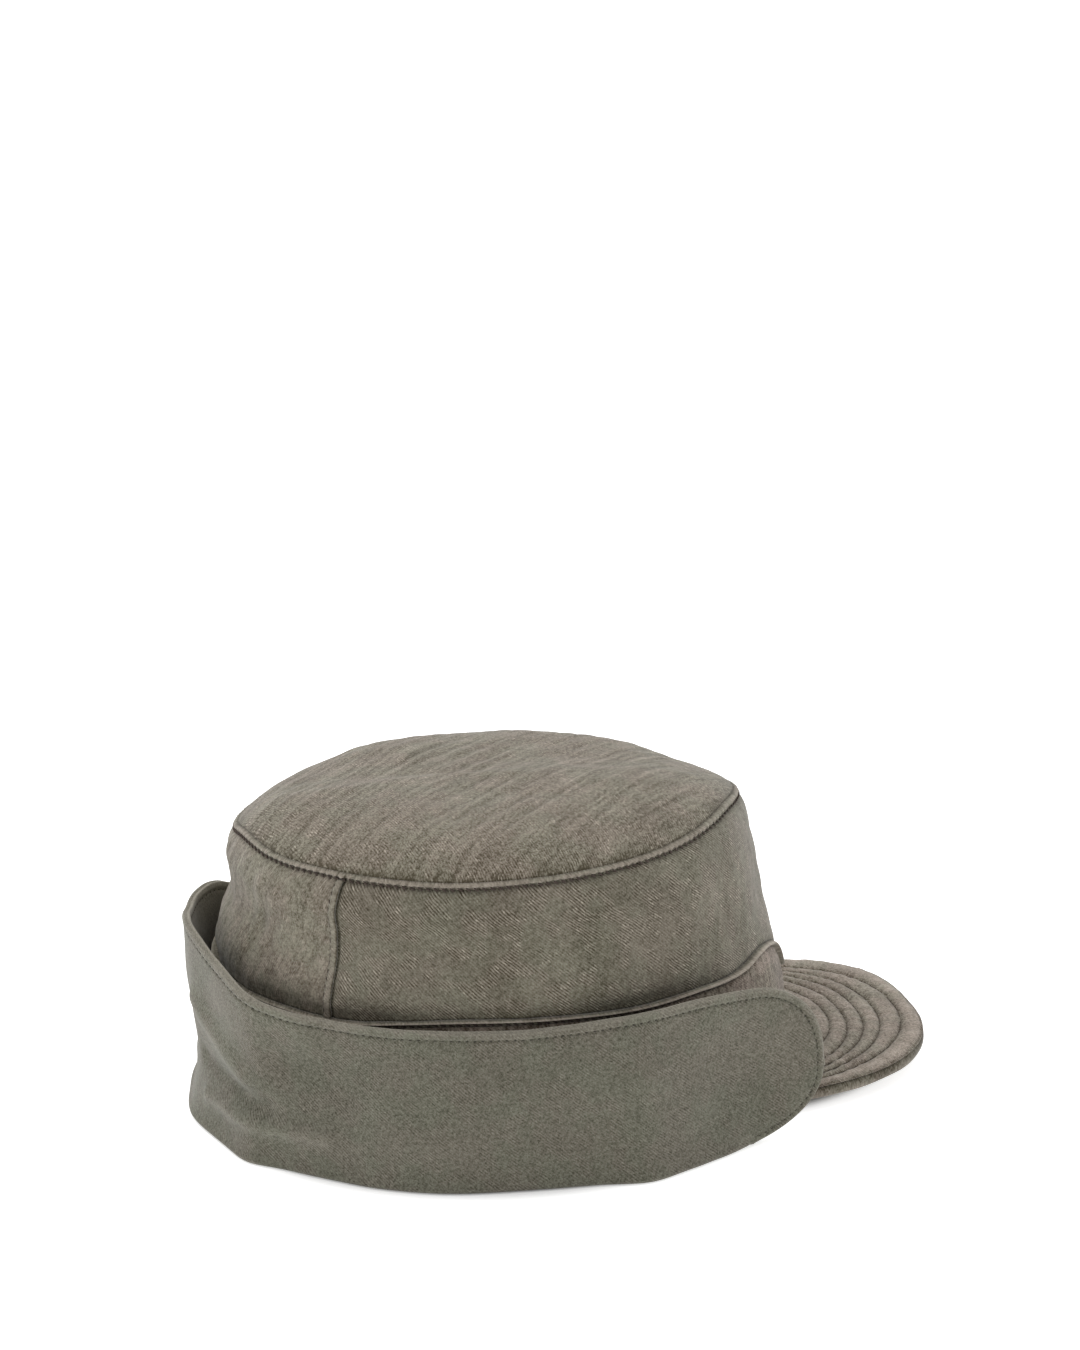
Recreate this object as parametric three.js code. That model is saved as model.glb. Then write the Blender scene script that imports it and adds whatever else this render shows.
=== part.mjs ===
// A soft field cap of cotton twill: an oval top, a side wall of two panels, a head band, a short
// stitched peak, and one long ear flap that is folded up round the sides and the back.
// Millimetres, +Z up. The wearer looks along -Y, and +X is on the wearer's left.
import * as THREE from "three";

const GAP = 0.3; // between pieces that are sewn together
const PANEL = 1.8; // a crown panel with its backing
const BAND = 2.2; // the doubled head band
const FLAP = 2.6; // the ear flap, two cloths and a soft filling
const PEAK_TOP = 1.5;
const PEAK_UNDER = 2.2; // stiffener and under cloth

// The outside of the wall at each height: its reach ahead of, behind and beside the head's centre.
const WALL = [
  { height: 0, front: 98.5, back: 103.5, side: 83.5 },
  { height: 28, front: 98.0, back: 104.0, side: 83.0 },
  { height: 45, front: 95.5, back: 104.5, side: 82.5 },
  { height: 57, front: 92.5, back: 104.0, side: 81.0 },
  { height: 66, front: 90.0, back: 102.5, side: 80.0 },
  { height: 76, front: 88.5, back: 100.0, side: 78.5 },
  { height: 85, front: 87.0, back: 98.8, side: 77.5 },
  { height: 92, front: 85.0, back: 99.0, side: 76.5 },
  { height: 98, front: 83.5, back: 97.5, side: 74.5 },
  { height: 105, front: 80.0, back: 94.0, side: 71.5 },
  { height: 112, front: 74.0, back: 88.0, side: 66.0 },
];

// The seam under the side wall, by the angle from the front. It dips over the peak.
const LOWER_SEAM = [
  { angle: -8, height: 42.0 },
  { angle: 0, height: 40.0 },
  { angle: 8, height: 42.0 },
  { angle: 14, height: 46.5 },
  { angle: 20, height: 51.5 },
  { angle: 28, height: 55.8 },
  { angle: 40, height: 56.5 },
  { angle: 60, height: 56.0 },
  { angle: 90, height: 57.0 },
  { angle: 108, height: 57.0 },
  { angle: 120, height: 56.0 },
  { angle: 133, height: 54.0 },
  { angle: 150, height: 54.0 },
  { angle: 180, height: 54.0 },
];

// The lower edge of the head band: on the floor, and lifted at the front where the peak is sewn on.
const BAND_FOOT = [
  { angle: 0, height: 8.6 },
  { angle: 30, height: 7.8 },
  { angle: 48, height: 5.0 },
  { angle: 62, height: 0.8 },
  { angle: 70, height: 0.0 },
  { angle: 180, height: 0.0 },
];

// Soft hollows and swellings of the side wall: where, how wide and tall, and how far out.
const DENTS = [
  { angle: 180, height: 78, wide: 24, tall: 7, out: -1.8 },
  { angle: -164, height: 78, wide: 13, tall: 9, out: -1.0 },
  { angle: -118, height: 72, wide: 20, tall: 12, out: -1.4 },
  { angle: -60, height: 74, wide: 18, tall: 11, out: -1.2 },
  { angle: -20, height: 80, wide: 14, tall: 13, out: -1.0 },
  { angle: 40, height: 76, wide: 18, tall: 12, out: -1.5 },
  { angle: 95, height: 70, wide: 22, tall: 10, out: -1.5 },
  { angle: 158, height: 80, wide: 13, tall: 10, out: -1.0 },
];

// The seam round the top, by the angle from the front towards the wearer's left. The crown leans:
// it is highest over the right temple and sinks on the left. The first and last rows keep the curve
// even across the back.
const TOP_SEAM = [
  { angle: -195, height: 100.2 },
  { angle: -180, height: 103.7 },
  { angle: -160, height: 103.7 },
  { angle: -145, height: 104.1 },
  { angle: -127, height: 104.1 },
  { angle: -113, height: 104.0 },
  { angle: -96, height: 104.6 },
  { angle: -75, height: 105.5 },
  { angle: -56, height: 106.7 },
  { angle: -40, height: 108.0 },
  { angle: -28, height: 108.4 },
  { angle: -15, height: 107.0 },
  { angle: 0, height: 104.0 },
  { angle: 12, height: 101.6 },
  { angle: 24, height: 99.8 },
  { angle: 36, height: 98.9 },
  { angle: 48, height: 99.2 },
  { angle: 60, height: 100.2 },
  { angle: 84, height: 100.7 },
  { angle: 108, height: 99.8 },
  { angle: 132, height: 98.1 },
  { angle: 146, height: 97.8 },
  { angle: 156, height: 98.4 },
  { angle: 165, height: 100.2 },
  { angle: 180, height: 103.7 },
  { angle: 200, height: 103.7 },
];
const TOP_MIDDLE = 103.3; // height of the seam's plane in the middle
const DOME = 11.6;
const DOME_BACK = 14; // its highest place is behind the middle
const DOME_POWER = 4; // flat in the middle, rounded near the seam
const RIM_INSET = 0.5; // the top panel's edge, in from the welt that it lies on
const RIM_THICK = 0.9;
const TOP_WELT = 2.1; // the folded edge that is stitched down under the top seam
const TOP_WELT_PROUD = 0.6;
const LOWER_WELT = 1.9;
const LOWER_WELT_PROUD = 1.2;
const REAR_SEAM_ANGLE = 139; // the two upright seams that bound the rear panel
const REAR_SEAM = 3.0; // width of the doubled strip
const STRIP = 0.9; // its thickness over the panels

// The ear flap's sections, from the middle of the back to the front end of one side: where its
// foot is, how far its top edge leans out, how far its middle is drawn in, and how far its foot may
// be turned in under it towards the band.
const FLAP_SECTIONS = [
  { forward: -115.0, side: 0, lean: 1.0, waist: 3.2, tuck: 14 },
  { forward: -111.8, side: 18, lean: 1.0, waist: 3.2, tuck: 14 },
  { forward: -104.2, side: 41, lean: 0.5, waist: 3.0, tuck: 14 },
  { forward: -93.0, side: 53, lean: 0.5, waist: 2.0, tuck: 14 },
  { forward: -80.0, side: 65, lean: -1.0, waist: 2.0, tuck: 14 },
  { forward: -65.0, side: 77, lean: -3.0, waist: 1.5, tuck: 14 },
  { forward: -44.0, side: 87, lean: -5.0, waist: 1.0, tuck: 14 },
  { forward: -20.0, side: 91.5, lean: -5.5, waist: 0.5, tuck: 14 },
  { forward: 6.0, side: 94.5, lean: -6.0, waist: 0.5, tuck: 14 },
  { forward: 24.5, side: 96.5, lean: -7.0, waist: 0.5, tuck: 14 },
  { forward: 40.0, side: 91.6, lean: -6.0, waist: 0.5, tuck: 12 },
  { forward: 52.5, side: 86, lean: -4.5, waist: 0.5, tuck: 8 },
  { forward: 67.0, side: 79.5, lean: -3.0, waist: 0.0, tuck: 4 },
  { forward: 81.0, side: 75.5, lean: -2.0, waist: 0.0, tuck: 3 },
  { forward: 93.5, side: 72.5, lean: -1.0, waist: 0.0, tuck: 3 },
];
// How high it stands, by the distance round its foot from the middle of the back. Places on the
// wearer's left are positive.
const FLAP_EDGE = [
  { place: -262, top: 55.9 },
  { place: -248, top: 55.9 },
  { place: -240, top: 56.2 },
  { place: -233, top: 57.1 },
  { place: -224, top: 58.5 },
  { place: -211, top: 59.5 },
  { place: -195, top: 59.5 },
  { place: -178, top: 58.7 },
  { place: -164, top: 57.2 },
  { place: -150, top: 55.8 },
  { place: -136, top: 55.5 },
  { place: -120, top: 56.3 },
  { place: -101, top: 56.7 },
  { place: -82, top: 57.0 },
  { place: -70, top: 57.5 },
  { place: -60, top: 58.4 },
  { place: -51, top: 59.8 },
  { place: -45, top: 61.4 },
  { place: -38, top: 63.4 },
  { place: -30, top: 65.4 },
  { place: -21, top: 67.4 },
  { place: -9, top: 70.4 },
  { place: 0, top: 71.7 },
  { place: 6, top: 71.8 },
  { place: 13, top: 70.4 },
  { place: 20, top: 68.3 },
  { place: 27, top: 66.7 },
  { place: 34, top: 66.2 },
  { place: 44, top: 66.6 },
  { place: 51.5, top: 66.8 },
  { place: 57.6, top: 65.4 },
  { place: 63.5, top: 62.8 },
  { place: 72, top: 60.5 },
  { place: 85, top: 58.8 },
  { place: 100, top: 57.6 },
  { place: 120, top: 56.6 },
  { place: 140, top: 56.0 },
  { place: 160, top: 56.5 },
  { place: 180, top: 58.0 },
  { place: 200, top: 59.0 },
  { place: 215, top: 58.9 },
  { place: 230, top: 57.5 },
  { place: 243, top: 56.2 },
  { place: 262, top: 55.9 },
];
const FLAP_SKEW = 0.03; // it is turned a little on the head, towards the wearer's right
const CORNER_TOP = { long: 27, high: 27 }; // the flap's rounded upper front corner
const CORNER_FOOT = { long: 42, high: 23 }; // and its lower one, which is drawn up off the floor
const CORNER_ROUND = 2.2; // 2 is an ellipse
const WAIST_LOW = 0.6; // less than 1 puts the drawn-in place below the middle
const FOOT_ROUND = 1.8; // the fold along the floor, outside and inside
const FOOT_INSIDE = 0.6;
const BAND_GAP = 0.9; // between the turned-in foot and the band

const PEAK_ROOT = 69.7; // the peak's widest place, ahead of the head's centre
const PEAK_REACH = 79.8;
const PEAK_HALF = 61.4;
const PEAK_SQUARE = 2.44; // a superellipse: 2 is an ellipse, more is squarer
const PEAK_HEIGHT = 12.6; // its upper face in the middle
const PEAK_ARCH = 0.00078; // drop over the square of the distance from the middle
const PEAK_SPREAD = 47; // angle of its corners on the band
const PEAK_SWEEP = 1.5; // radians round its outline to its corners, just short of a right angle

const HEAD_RADIUS = 90; // roughly, for angles that stand for widths
const ROUND = 72; // steps round the head
const TOP_RINGS = 6;
const RING_CROWDING = 1.3; // more than 1 brings the rings together near the rim
const PANEL_ROWS = 7;
const WELT_ROWS = 2;
const BAND_ROWS = 3;
const FLAP_STEPS = 72;
const END_CROWDING = 0.6; // 0 to 1, brings the flap's steps together near its ends
const FLAP_ROWS = 6;
const FOOT_STEPS = 2;
const PEAK_STEPS = 36;
const PEAK_ROWS = 4;

const { clamp, degToRad, lerp, radToDeg } = THREE.MathUtils;

// A row of a table at any value of its first column, on a smooth curve through the rows.
function rowAt(table, key, value) {
  const passed = table.filter((row) => row[key] <= value).length;
  const at = clamp(passed - 1, 0, table.length - 2);
  const [a, b] = [table[at], table[at + 1]];
  const [before, after] = [table[Math.max(at - 1, 0)], table[Math.min(at + 2, table.length - 1)]];
  const step = b[key] - a[key];
  const t = clamp((value - a[key]) / step, 0, 1);
  const made = {};
  for (const name of Object.keys(a)) {
    const slopeA = ((b[name] - before[name]) / (b[key] - before[key])) * step;
    const slopeB = ((after[name] - a[name]) / (after[key] - a[key])) * step;
    made[name] =
      (2 * t ** 3 - 3 * t ** 2 + 1) * a[name] +
      (t ** 3 - 2 * t ** 2 + t) * slopeA +
      (3 * t ** 2 - 2 * t ** 3) * b[name] +
      (t ** 3 - t ** 2) * slopeB;
  }
  return made;
}

// Degrees from the front, 0 to 180, whichever side.
const fromFront = (angle) => Math.abs(((angle + 540) % 360) - 180);
const signedAngle = (angle) => ((angle + 540) % 360) - 180;

function dentAt(angle, height) {
  const bumps = DENTS.map((dent) => {
    const off = signedAngle(angle - dent.angle) / dent.wide;
    return dent.out * Math.exp(-(off ** 2) - ((height - dent.height) / dent.tall) ** 2);
  });
  return bumps.reduce((sum, bump) => sum + bump, 0);
}

// A point of the wall's outside. Angles run from the front towards the wearer's left.
function wallPoint(angle, height, out = 0) {
  const { front, back, side } = rowAt(WALL, "height", height);
  const turn = degToRad(angle);
  const push = out + dentAt(angle, height);
  const x = (side + push) * Math.sin(turn);
  const y = -((front + back) / 2 + push) * Math.cos(turn) - (front - back) / 2;
  return new THREE.Vector3(x, y, height);
}

const topSeamHeight = (angle) => rowAt(TOP_SEAM, "angle", signedAngle(angle)).height;
const lowerSeamHeight = (angle) => rowAt(LOWER_SEAM, "angle", fromFront(angle)).height;
const bandFootHeight = (angle) => Math.max(rowAt(BAND_FOOT, "angle", fromFront(angle)).height, 0);

// A closed skin over a sheet with two faces. face(u, v, inner) is a point of the outer face, or of
// the inner one; u runs anticlockwise round the head and v runs up. A ring has no ends in u.
function skin(face, across, up, ring = false) {
  const columns = ring ? across : across + 1;
  const points = [];
  for (const inner of [false, true]) {
    for (let i = 0; i < columns; i++) {
      for (let j = 0; j <= up; j++) points.push(face(i / across, j / up, inner));
    }
  }
  const at = (i, j, side) => side * columns * (up + 1) + (i % columns) * (up + 1) + j;
  const faces = [];
  const quad = (a, b, c, d) => faces.push(a, b, c, a, c, d);
  for (let i = 0; i < across; i++) {
    for (let j = 0; j < up; j++) {
      quad(at(i, j, 0), at(i + 1, j, 0), at(i + 1, j + 1, 0), at(i, j + 1, 0));
      quad(at(i, j, 1), at(i, j + 1, 1), at(i + 1, j + 1, 1), at(i + 1, j, 1));
    }
    quad(at(i, 0, 1), at(i + 1, 0, 1), at(i + 1, 0, 0), at(i, 0, 0));
    quad(at(i, up, 0), at(i + 1, up, 0), at(i + 1, up, 1), at(i, up, 1));
  }
  for (let j = 0; !ring && j < up; j++) {
    quad(at(0, j, 1), at(0, j, 0), at(0, j + 1, 0), at(0, j + 1, 1));
    quad(at(across, j, 0), at(across, j, 1), at(across, j + 1, 1), at(across, j + 1, 0));
  }
  return solid(points, faces);
}

function solid(points, faces) {
  const geometry = new THREE.BufferGeometry().setFromPoints(points);
  geometry.setIndex(faces);
  geometry.computeVertexNormals();
  return geometry;
}

// The oval top: rings from the seam in to a single point in the middle. Its edge lies on the welt.
function topPanel() {
  const rim = (angle) => wallPoint(angle, topSeamHeight(angle), -RIM_INSET);
  const middle = new THREE.Vector3(0, (rim(0).y + rim(180).y) / 2 + DOME_BACK, TOP_MIDDLE);
  const points = [];
  const addPoint = (angle, share, inner) => {
    const point = middle.clone().lerp(rim(angle), share);
    const fall = share ** DOME_POWER;
    point.z += GAP + DOME * (1 - fall) + (inner ? 0 : lerp(PANEL, RIM_THICK, fall));
    points.push(point);
  };
  for (const inner of [false, true]) {
    for (let ring = 0; ring < TOP_RINGS; ring++) {
      const share = 1 - (ring / TOP_RINGS) ** RING_CROWDING;
      for (let i = 0; i < ROUND; i++) addPoint((360 * i) / ROUND, share, inner);
    }
    addPoint(0, 0, inner);
  }
  const layer = TOP_RINGS * ROUND + 1;
  const at = (ring, i) => ring * ROUND + (i % ROUND);
  const faces = [];
  const both = (a, b, c) => faces.push(a, b, c, a + layer, c + layer, b + layer);
  for (let i = 0; i < ROUND; i++) {
    for (let ring = 0; ring < TOP_RINGS - 1; ring++) {
      both(at(ring, i), at(ring, i + 1), at(ring + 1, i + 1));
      both(at(ring, i), at(ring + 1, i + 1), at(ring + 1, i));
    }
    both(at(TOP_RINGS - 1, i), at(TOP_RINGS - 1, i + 1), layer - 1);
    const [a, b] = [at(0, i), at(0, i + 1)];
    faces.push(a, a + layer, b + layer, a, b + layer, b);
  }
  return solid(points, faces);
}

// A panel of the side wall between two angles, from the lower welt to the top one.
function panelHeight(angle, share) {
  const low = lowerSeamHeight(angle) + LOWER_WELT / 2 + GAP;
  return lerp(low, topSeamHeight(angle) - TOP_WELT - GAP, share);
}

function sidePanel(from, to) {
  const steps = Math.round(((to - from) / 360) * ROUND);
  const face = (u, v, inner) => {
    const angle = lerp(from, to, u);
    return wallPoint(angle, panelHeight(angle, v), inner ? -PANEL : 0);
  };
  return skin(face, steps, PANEL_ROWS);
}

// The doubled strip over one upright seam of the side wall.
function rearStrip(angle) {
  const half = radToDeg(REAR_SEAM / 2 / HEAD_RADIUS);
  const face = (u, v, inner) => {
    const here = angle + lerp(-half, half, u);
    return wallPoint(here, panelHeight(here, v), inner ? GAP : GAP + STRIP);
  };
  return skin(face, 2, PANEL_ROWS);
}

// A seam that stands out from the wall, round the whole cap.
function welt(middleHeight, width, proud) {
  const face = (u, v, inner) => {
    const angle = 360 * u;
    const out = inner ? -PANEL : proud * Math.sin(Math.PI * v);
    return wallPoint(angle, middleHeight(angle) + width * (v - 0.5), out);
  };
  return skin(face, ROUND, WELT_ROWS, true);
}

function headBand() {
  const face = (u, v, inner) => {
    const angle = 360 * u;
    const top = lowerSeamHeight(angle) - LOWER_WELT / 2 - GAP;
    return wallPoint(angle, lerp(bandFootHeight(angle), top, v), inner ? -BAND : 0);
  };
  return skin(face, ROUND, BAND_ROWS, true);
}

// How far a rounded corner takes an edge back, at a distance from the end of the flap.
function cornerDrop(distance, corner) {
  const share = clamp(1 - distance / corner.long, 0, 1);
  return corner.high * (1 - Math.sqrt(1 - share ** CORNER_ROUND));
}

// The flap's rows by their distance round the foot from the middle of the back. One more row, of
// the other side, keeps the curve even across the back.
const flapRows = [];
for (const section of [{ ...FLAP_SECTIONS[1], side: -FLAP_SECTIONS[1].side }, ...FLAP_SECTIONS]) {
  const before = flapRows.at(-1) ?? { ...section, place: 0 };
  const step = Math.hypot(section.forward - before.forward, section.side - before.side);
  flapRows.push({ place: before.place + step, ...section });
}
const backPlace = flapRows[1].place;
const endPlace = flapRows.at(-1).place;

// The flap at a share of its way from the front end on the wearer's left to the one on the right.
function flapSection(u) {
  const share = Math.abs(u * 2 - 1);
  const along = (endPlace - backPlace) * lerp(share, Math.sin((share * Math.PI) / 2), END_CROWDING);
  const row = rowAt(flapRows, "place", backPlace + along);
  const toEnd = endPlace - backPlace - along;
  const place = u < 0.5 ? along : -along;
  const x = Math.sign(place) * row.side;
  return {
    ...row,
    x,
    y: -row.forward - FLAP_SKEW * x,
    top: rowAt(FLAP_EDGE, "place", place).top - cornerDrop(toEnd, CORNER_TOP),
    foot: cornerDrop(toEnd, CORNER_FOOT),
  };
}

// How far inwards a point outside the band is from it, in a direction.
function distanceToBand(x, y, direction) {
  const { front, back, side } = WALL[0];
  const long = (front + back) / 2;
  const [px, py] = [x / side, (y + (front - back) / 2) / long];
  const [dx, dy] = [direction.x / side, direction.y / long];
  const a = dx ** 2 + dy ** 2;
  const b = px * dx + py * dy;
  const c = px ** 2 + py ** 2 - 1;
  return (b - Math.sqrt(Math.max(b ** 2 - a * c, 0))) / a;
}

// The outline of a section: from the turned-in edge along the floor, round the foot, and up. The
// inner one is the same, moved in by the flap's thickness.
function flapOutline(row, tuck, inner) {
  const radius = inner ? FOOT_INSIDE : FOOT_ROUND;
  const moved = inner ? FLAP : 0;
  const points = [new THREE.Vector2(-tuck, row.foot + moved)];
  for (let i = 0; i <= FOOT_STEPS; i++) {
    const turn = (Math.PI / 2) * (i / FOOT_STEPS);
    const away = radius * (Math.sin(turn) - 1) - moved;
    points.push(new THREE.Vector2(away, row.foot + moved + radius * (1 - Math.cos(turn))));
  }
  const start = points.at(-1).y;
  for (let i = 1; i <= FLAP_ROWS; i++) {
    const climb = i / FLAP_ROWS;
    const away = row.lean * climb - row.waist * Math.sin(Math.PI * climb ** WAIST_LOW);
    points.push(new THREE.Vector2(away - moved, lerp(start, row.top, climb)));
  }
  return points;
}

// The ear flap is one piece, folded up round the sides and the back.
function earFlap() {
  const small = 1e-3;
  const columns = [];
  for (let i = 0; i <= FLAP_STEPS; i++) {
    const u = i / FLAP_STEPS;
    const row = flapSection(u);
    const [before, after] = [flapSection(Math.max(u - small, 0)), flapSection(Math.min(u + small, 1))];
    const out = new THREE.Vector2(after.y - before.y, before.x - after.x).normalize();
    const room = distanceToBand(row.x, row.y, out) - BAND_GAP;
    const tuck = Math.max(Math.min(room, row.tuck), FLAP + FOOT_INSIDE + GAP);
    columns.push({ row, out, faces: [flapOutline(row, tuck, false), flapOutline(row, tuck, true)] });
  }
  const up = columns[0].faces[0].length - 1;
  const face = (u, v, inner) => {
    const { row, out, faces } = columns[Math.round(u * FLAP_STEPS)];
    const point = faces[inner ? 1 : 0][Math.round(v * up)];
    return new THREE.Vector3(row.x + out.x * point.x, row.y + out.y * point.x, point.y);
  };
  return skin(face, FLAP_STEPS, up);
}

// One layer of the peak, from the band to the rim, at a depth under its upper face.
function peakLayer(depth, thickness) {
  const face = (u, v, inner) => {
    const share = lerp(1, -1, u);
    const root = wallPoint(PEAK_SPREAD * share, PEAK_HEIGHT, GAP);
    const sweep = PEAK_SWEEP * share;
    const x = PEAK_HALF * Math.sign(sweep) * Math.abs(Math.sin(sweep)) ** (2 / PEAK_SQUARE);
    const y = -PEAK_ROOT - PEAK_REACH * Math.cos(sweep) ** (2 / PEAK_SQUARE);
    const point = root.lerp(new THREE.Vector3(x, y, 0), v);
    point.z = PEAK_HEIGHT - PEAK_ARCH * point.x ** 2 - depth - (inner ? thickness : 0);
    return point;
  };
  return skin(face, PEAK_STEPS, PEAK_ROWS);
}

function piece(name, geometry, material) {
  const mesh = new THREE.Mesh(geometry, material);
  mesh.name = name;
  return mesh;
}

const cloth = (color) => new THREE.MeshStandardMaterial({ color, roughness: 0.92, metalness: 0 });
const crownTwill = cloth(0x736c61);
const weltTwill = cloth(0x6b665b);
const flapTwill = cloth(0x66665b);

const cap = new THREE.Group();
const rearFrom = REAR_SEAM_ANGLE + radToDeg(GAP / HEAD_RADIUS);
const topWeltHeight = (angle) => topSeamHeight(angle) - TOP_WELT / 2;
cap.add(
  piece("top_panel", topPanel(), crownTwill),
  piece("top_welt", welt(topWeltHeight, TOP_WELT, TOP_WELT_PROUD), weltTwill),
  piece("front_side_panel", sidePanel(-REAR_SEAM_ANGLE, REAR_SEAM_ANGLE), crownTwill),
  piece("rear_panel", sidePanel(rearFrom, 360 - rearFrom), crownTwill),
  piece("rear_seam_left", rearStrip(REAR_SEAM_ANGLE), weltTwill),
  piece("rear_seam_right", rearStrip(-REAR_SEAM_ANGLE), weltTwill),
  piece("lower_welt", welt(lowerSeamHeight, LOWER_WELT, LOWER_WELT_PROUD), weltTwill),
  piece("head_band", headBand(), crownTwill),
  piece("ear_flap", earFlap(), flapTwill),
  piece("peak_top", peakLayer(0, PEAK_TOP), crownTwill),
  piece("peak_underside", peakLayer(PEAK_TOP + GAP, PEAK_UNDER), crownTwill),
);

// The origin is on the floor under the middle of the whole cap.
const middle = new THREE.Box3().setFromObject(cap).getCenter(new THREE.Vector3());
cap.position.set(0, -middle.y, 0);

export default cap;
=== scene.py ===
import math

import bmesh
import bpy
import numpy as np
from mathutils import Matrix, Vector


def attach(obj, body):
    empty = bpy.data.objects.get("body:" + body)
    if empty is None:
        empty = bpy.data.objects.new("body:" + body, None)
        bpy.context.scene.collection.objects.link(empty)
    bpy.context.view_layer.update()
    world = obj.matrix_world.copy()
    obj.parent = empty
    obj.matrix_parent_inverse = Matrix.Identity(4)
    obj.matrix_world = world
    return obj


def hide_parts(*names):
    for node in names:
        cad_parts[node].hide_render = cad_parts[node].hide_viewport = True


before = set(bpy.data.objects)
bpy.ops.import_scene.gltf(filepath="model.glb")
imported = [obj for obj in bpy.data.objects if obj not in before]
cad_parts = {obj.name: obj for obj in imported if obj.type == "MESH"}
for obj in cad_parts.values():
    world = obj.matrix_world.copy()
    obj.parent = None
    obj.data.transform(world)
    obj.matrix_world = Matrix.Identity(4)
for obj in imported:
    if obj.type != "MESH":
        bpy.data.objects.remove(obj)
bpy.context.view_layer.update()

# The side wall of the crown
# Two panels of washed cotton twill with a backing: a long one round the front and both sides, and
# a short one at the rear. They are sewn to the top above and to the head band below.
HEAD_MIDDLE = 16.75  # mm from the middle of the whole cap back to the middle of the head
PANEL = 1.8  # thickness of a side panel with its backing
GAP = 0.3  # left between neighbouring pieces
# Outside of the wall: height, then its reach ahead of, behind and beside the head's middle, in mm.
WALL = np.array([
    [0, 98.5, 103.5, 83.5],
    [28, 98.0, 104.0, 83.0],
    [45, 95.5, 104.5, 82.5],
    [57, 92.5, 104.0, 81.0],
    [66, 90.0, 102.5, 80.0],
    [76, 88.5, 100.0, 78.5],
    [85, 87.0, 98.8, 77.5],
    [92, 85.0, 99.0, 76.5],
    [98, 83.5, 96.7, 74.5],
    [105, 80.0, 92.8, 71.5],
    [112, 74.0, 88.0, 66.0],
])
# Soft hollows of the wall: angle from the front, height, how wide and tall, and how far out.
DENTS = [
    (180, 78, 24, 7, -1.8),
    (-164, 78, 13, 9, -1.0),
    (-118, 72, 20, 12, -1.4),
    (-60, 74, 18, 11, -1.2),
    (-20, 80, 14, 13, -1.0),
    (40, 76, 18, 12, -1.5),
    (95, 70, 22, 10, -1.5),
    (158, 80, 13, 10, -1.0),
]
# The seam under the wall, by the angle from the front either way. It dips over the peak.
LOWER_SEAM = np.array([
    [-8, 37.6],
    [0, 37.0],
    [8, 37.6],
    [12, 40.4],
    [16, 47.4],
    [20, 52.4],
    [28, 55.9],
    [34, 56.3],
    [42, 55.1],
    [50, 55.0],
    [58, 55.5],
    [72, 55.2],
    [90, 56.4],
    [108, 57.0],
    [120, 56.0],
    [133, 54.0],
    [150, 54.0],
    [180, 54.0],
])
# The seam round the top, by the angle from the front towards the wearer's left. The soft crown
# leans: it is highest over the right temple.
TOP_SEAM = np.array([
    [-195, 100.2],
    [-180, 103.7],
    [-160, 103.7],
    [-145, 104.1],
    [-127, 104.1],
    [-113, 104.0],
    [-96, 104.6],
    [-75, 105.5],
    [-56, 106.7],
    [-40, 108.0],
    [-28, 108.4],
    [-15, 106.6],
    [0, 103.1],
    [12, 100.5],
    [24, 99.0],
    [36, 98.9],
    [48, 99.2],
    [60, 100.2],
    [84, 100.7],
    [108, 99.8],
    [132, 98.1],
    [146, 97.8],
    [156, 98.4],
    [165, 100.2],
    [180, 103.7],
    [200, 103.7],
])
LOWER_WELT = 1.9  # height of the bead under the wall
TOP_WELT = 2.1  # and of the stitched edge over it
REAR_SEAM_ANGLE = 139  # of the two upright seams, from the front
REAR_SEAM = 3.0  # width of their strips
HEAD_RADIUS = 90
MM_PER_DEGREE = 1.57  # round the wall
STITCH = 2.7  # one topstitch and its gap


def row_at(table, value):
    """A row of a table at any values of its first column, on a smooth curve through the rows."""
    keys = table[:, 0]
    last = len(keys) - 1
    value = np.clip(value, keys[0], keys[-1])
    at = np.clip(np.searchsorted(keys, value, side="right") - 1, 0, last - 1)
    a, b = table[at], table[at + 1]
    before, after = table[np.maximum(at - 1, 0)], table[np.minimum(at + 2, last)]
    step = (b - a)[..., :1]
    t = (np.asarray(value)[..., None] - a[..., :1]) / step
    slope_a = (b - before) / (b - before)[..., :1] * step
    slope_b = (after - a) / (after - a)[..., :1] * step
    return (
        (2 * t**3 - 3 * t**2 + 1) * a
        + (t**3 - 2 * t**2 + t) * slope_a
        + (3 * t**2 - 2 * t**3) * b
        + (t**3 - t**2) * slope_b
    )


def turned(angle):
    """The same angle, between -180 and 180 degrees."""
    return (angle + 540) % 360 - 180


def hump(away, width):
    """1 in the middle of a soft bump, falling to nothing."""
    return np.exp(-((away / width) ** 2))


def waves(points, length, chance_seed, count=9):
    """Uneven gentle waves through space, about so long in mm and mostly between -1 and 1."""
    chance = np.random.default_rng(chance_seed)
    total = np.zeros(points.shape[:-1])
    for _ in range(count):
        way = chance.normal(size=points.shape[-1])
        way /= np.linalg.norm(way) * length * chance.uniform(0.7, 1.5)
        total += np.cos(math.tau * (points @ way) + chance.uniform(0, math.tau))
    return total * math.sqrt(2 / count) * 0.7


def wall_point(angle, height, out=0.0):
    """A point of the wall's outside. Angles run from the front towards the wearer's left."""
    angle, height, out = np.broadcast_arrays(angle, height, np.asarray(out, float))
    _, front, back, side = np.moveaxis(row_at(WALL, height), -1, 0)
    push = out.copy()
    for at, level, wide, tall, depth in DENTS:
        push += depth * hump(turned(angle - at), wide) * hump(height - level, tall)
    turn = np.radians(angle)
    x = (side + push) * np.sin(turn)
    y = -((front + back) / 2 + push) * np.cos(turn) - (front - back) / 2
    return np.stack([x, y + HEAD_MIDDLE, height], -1)


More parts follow.
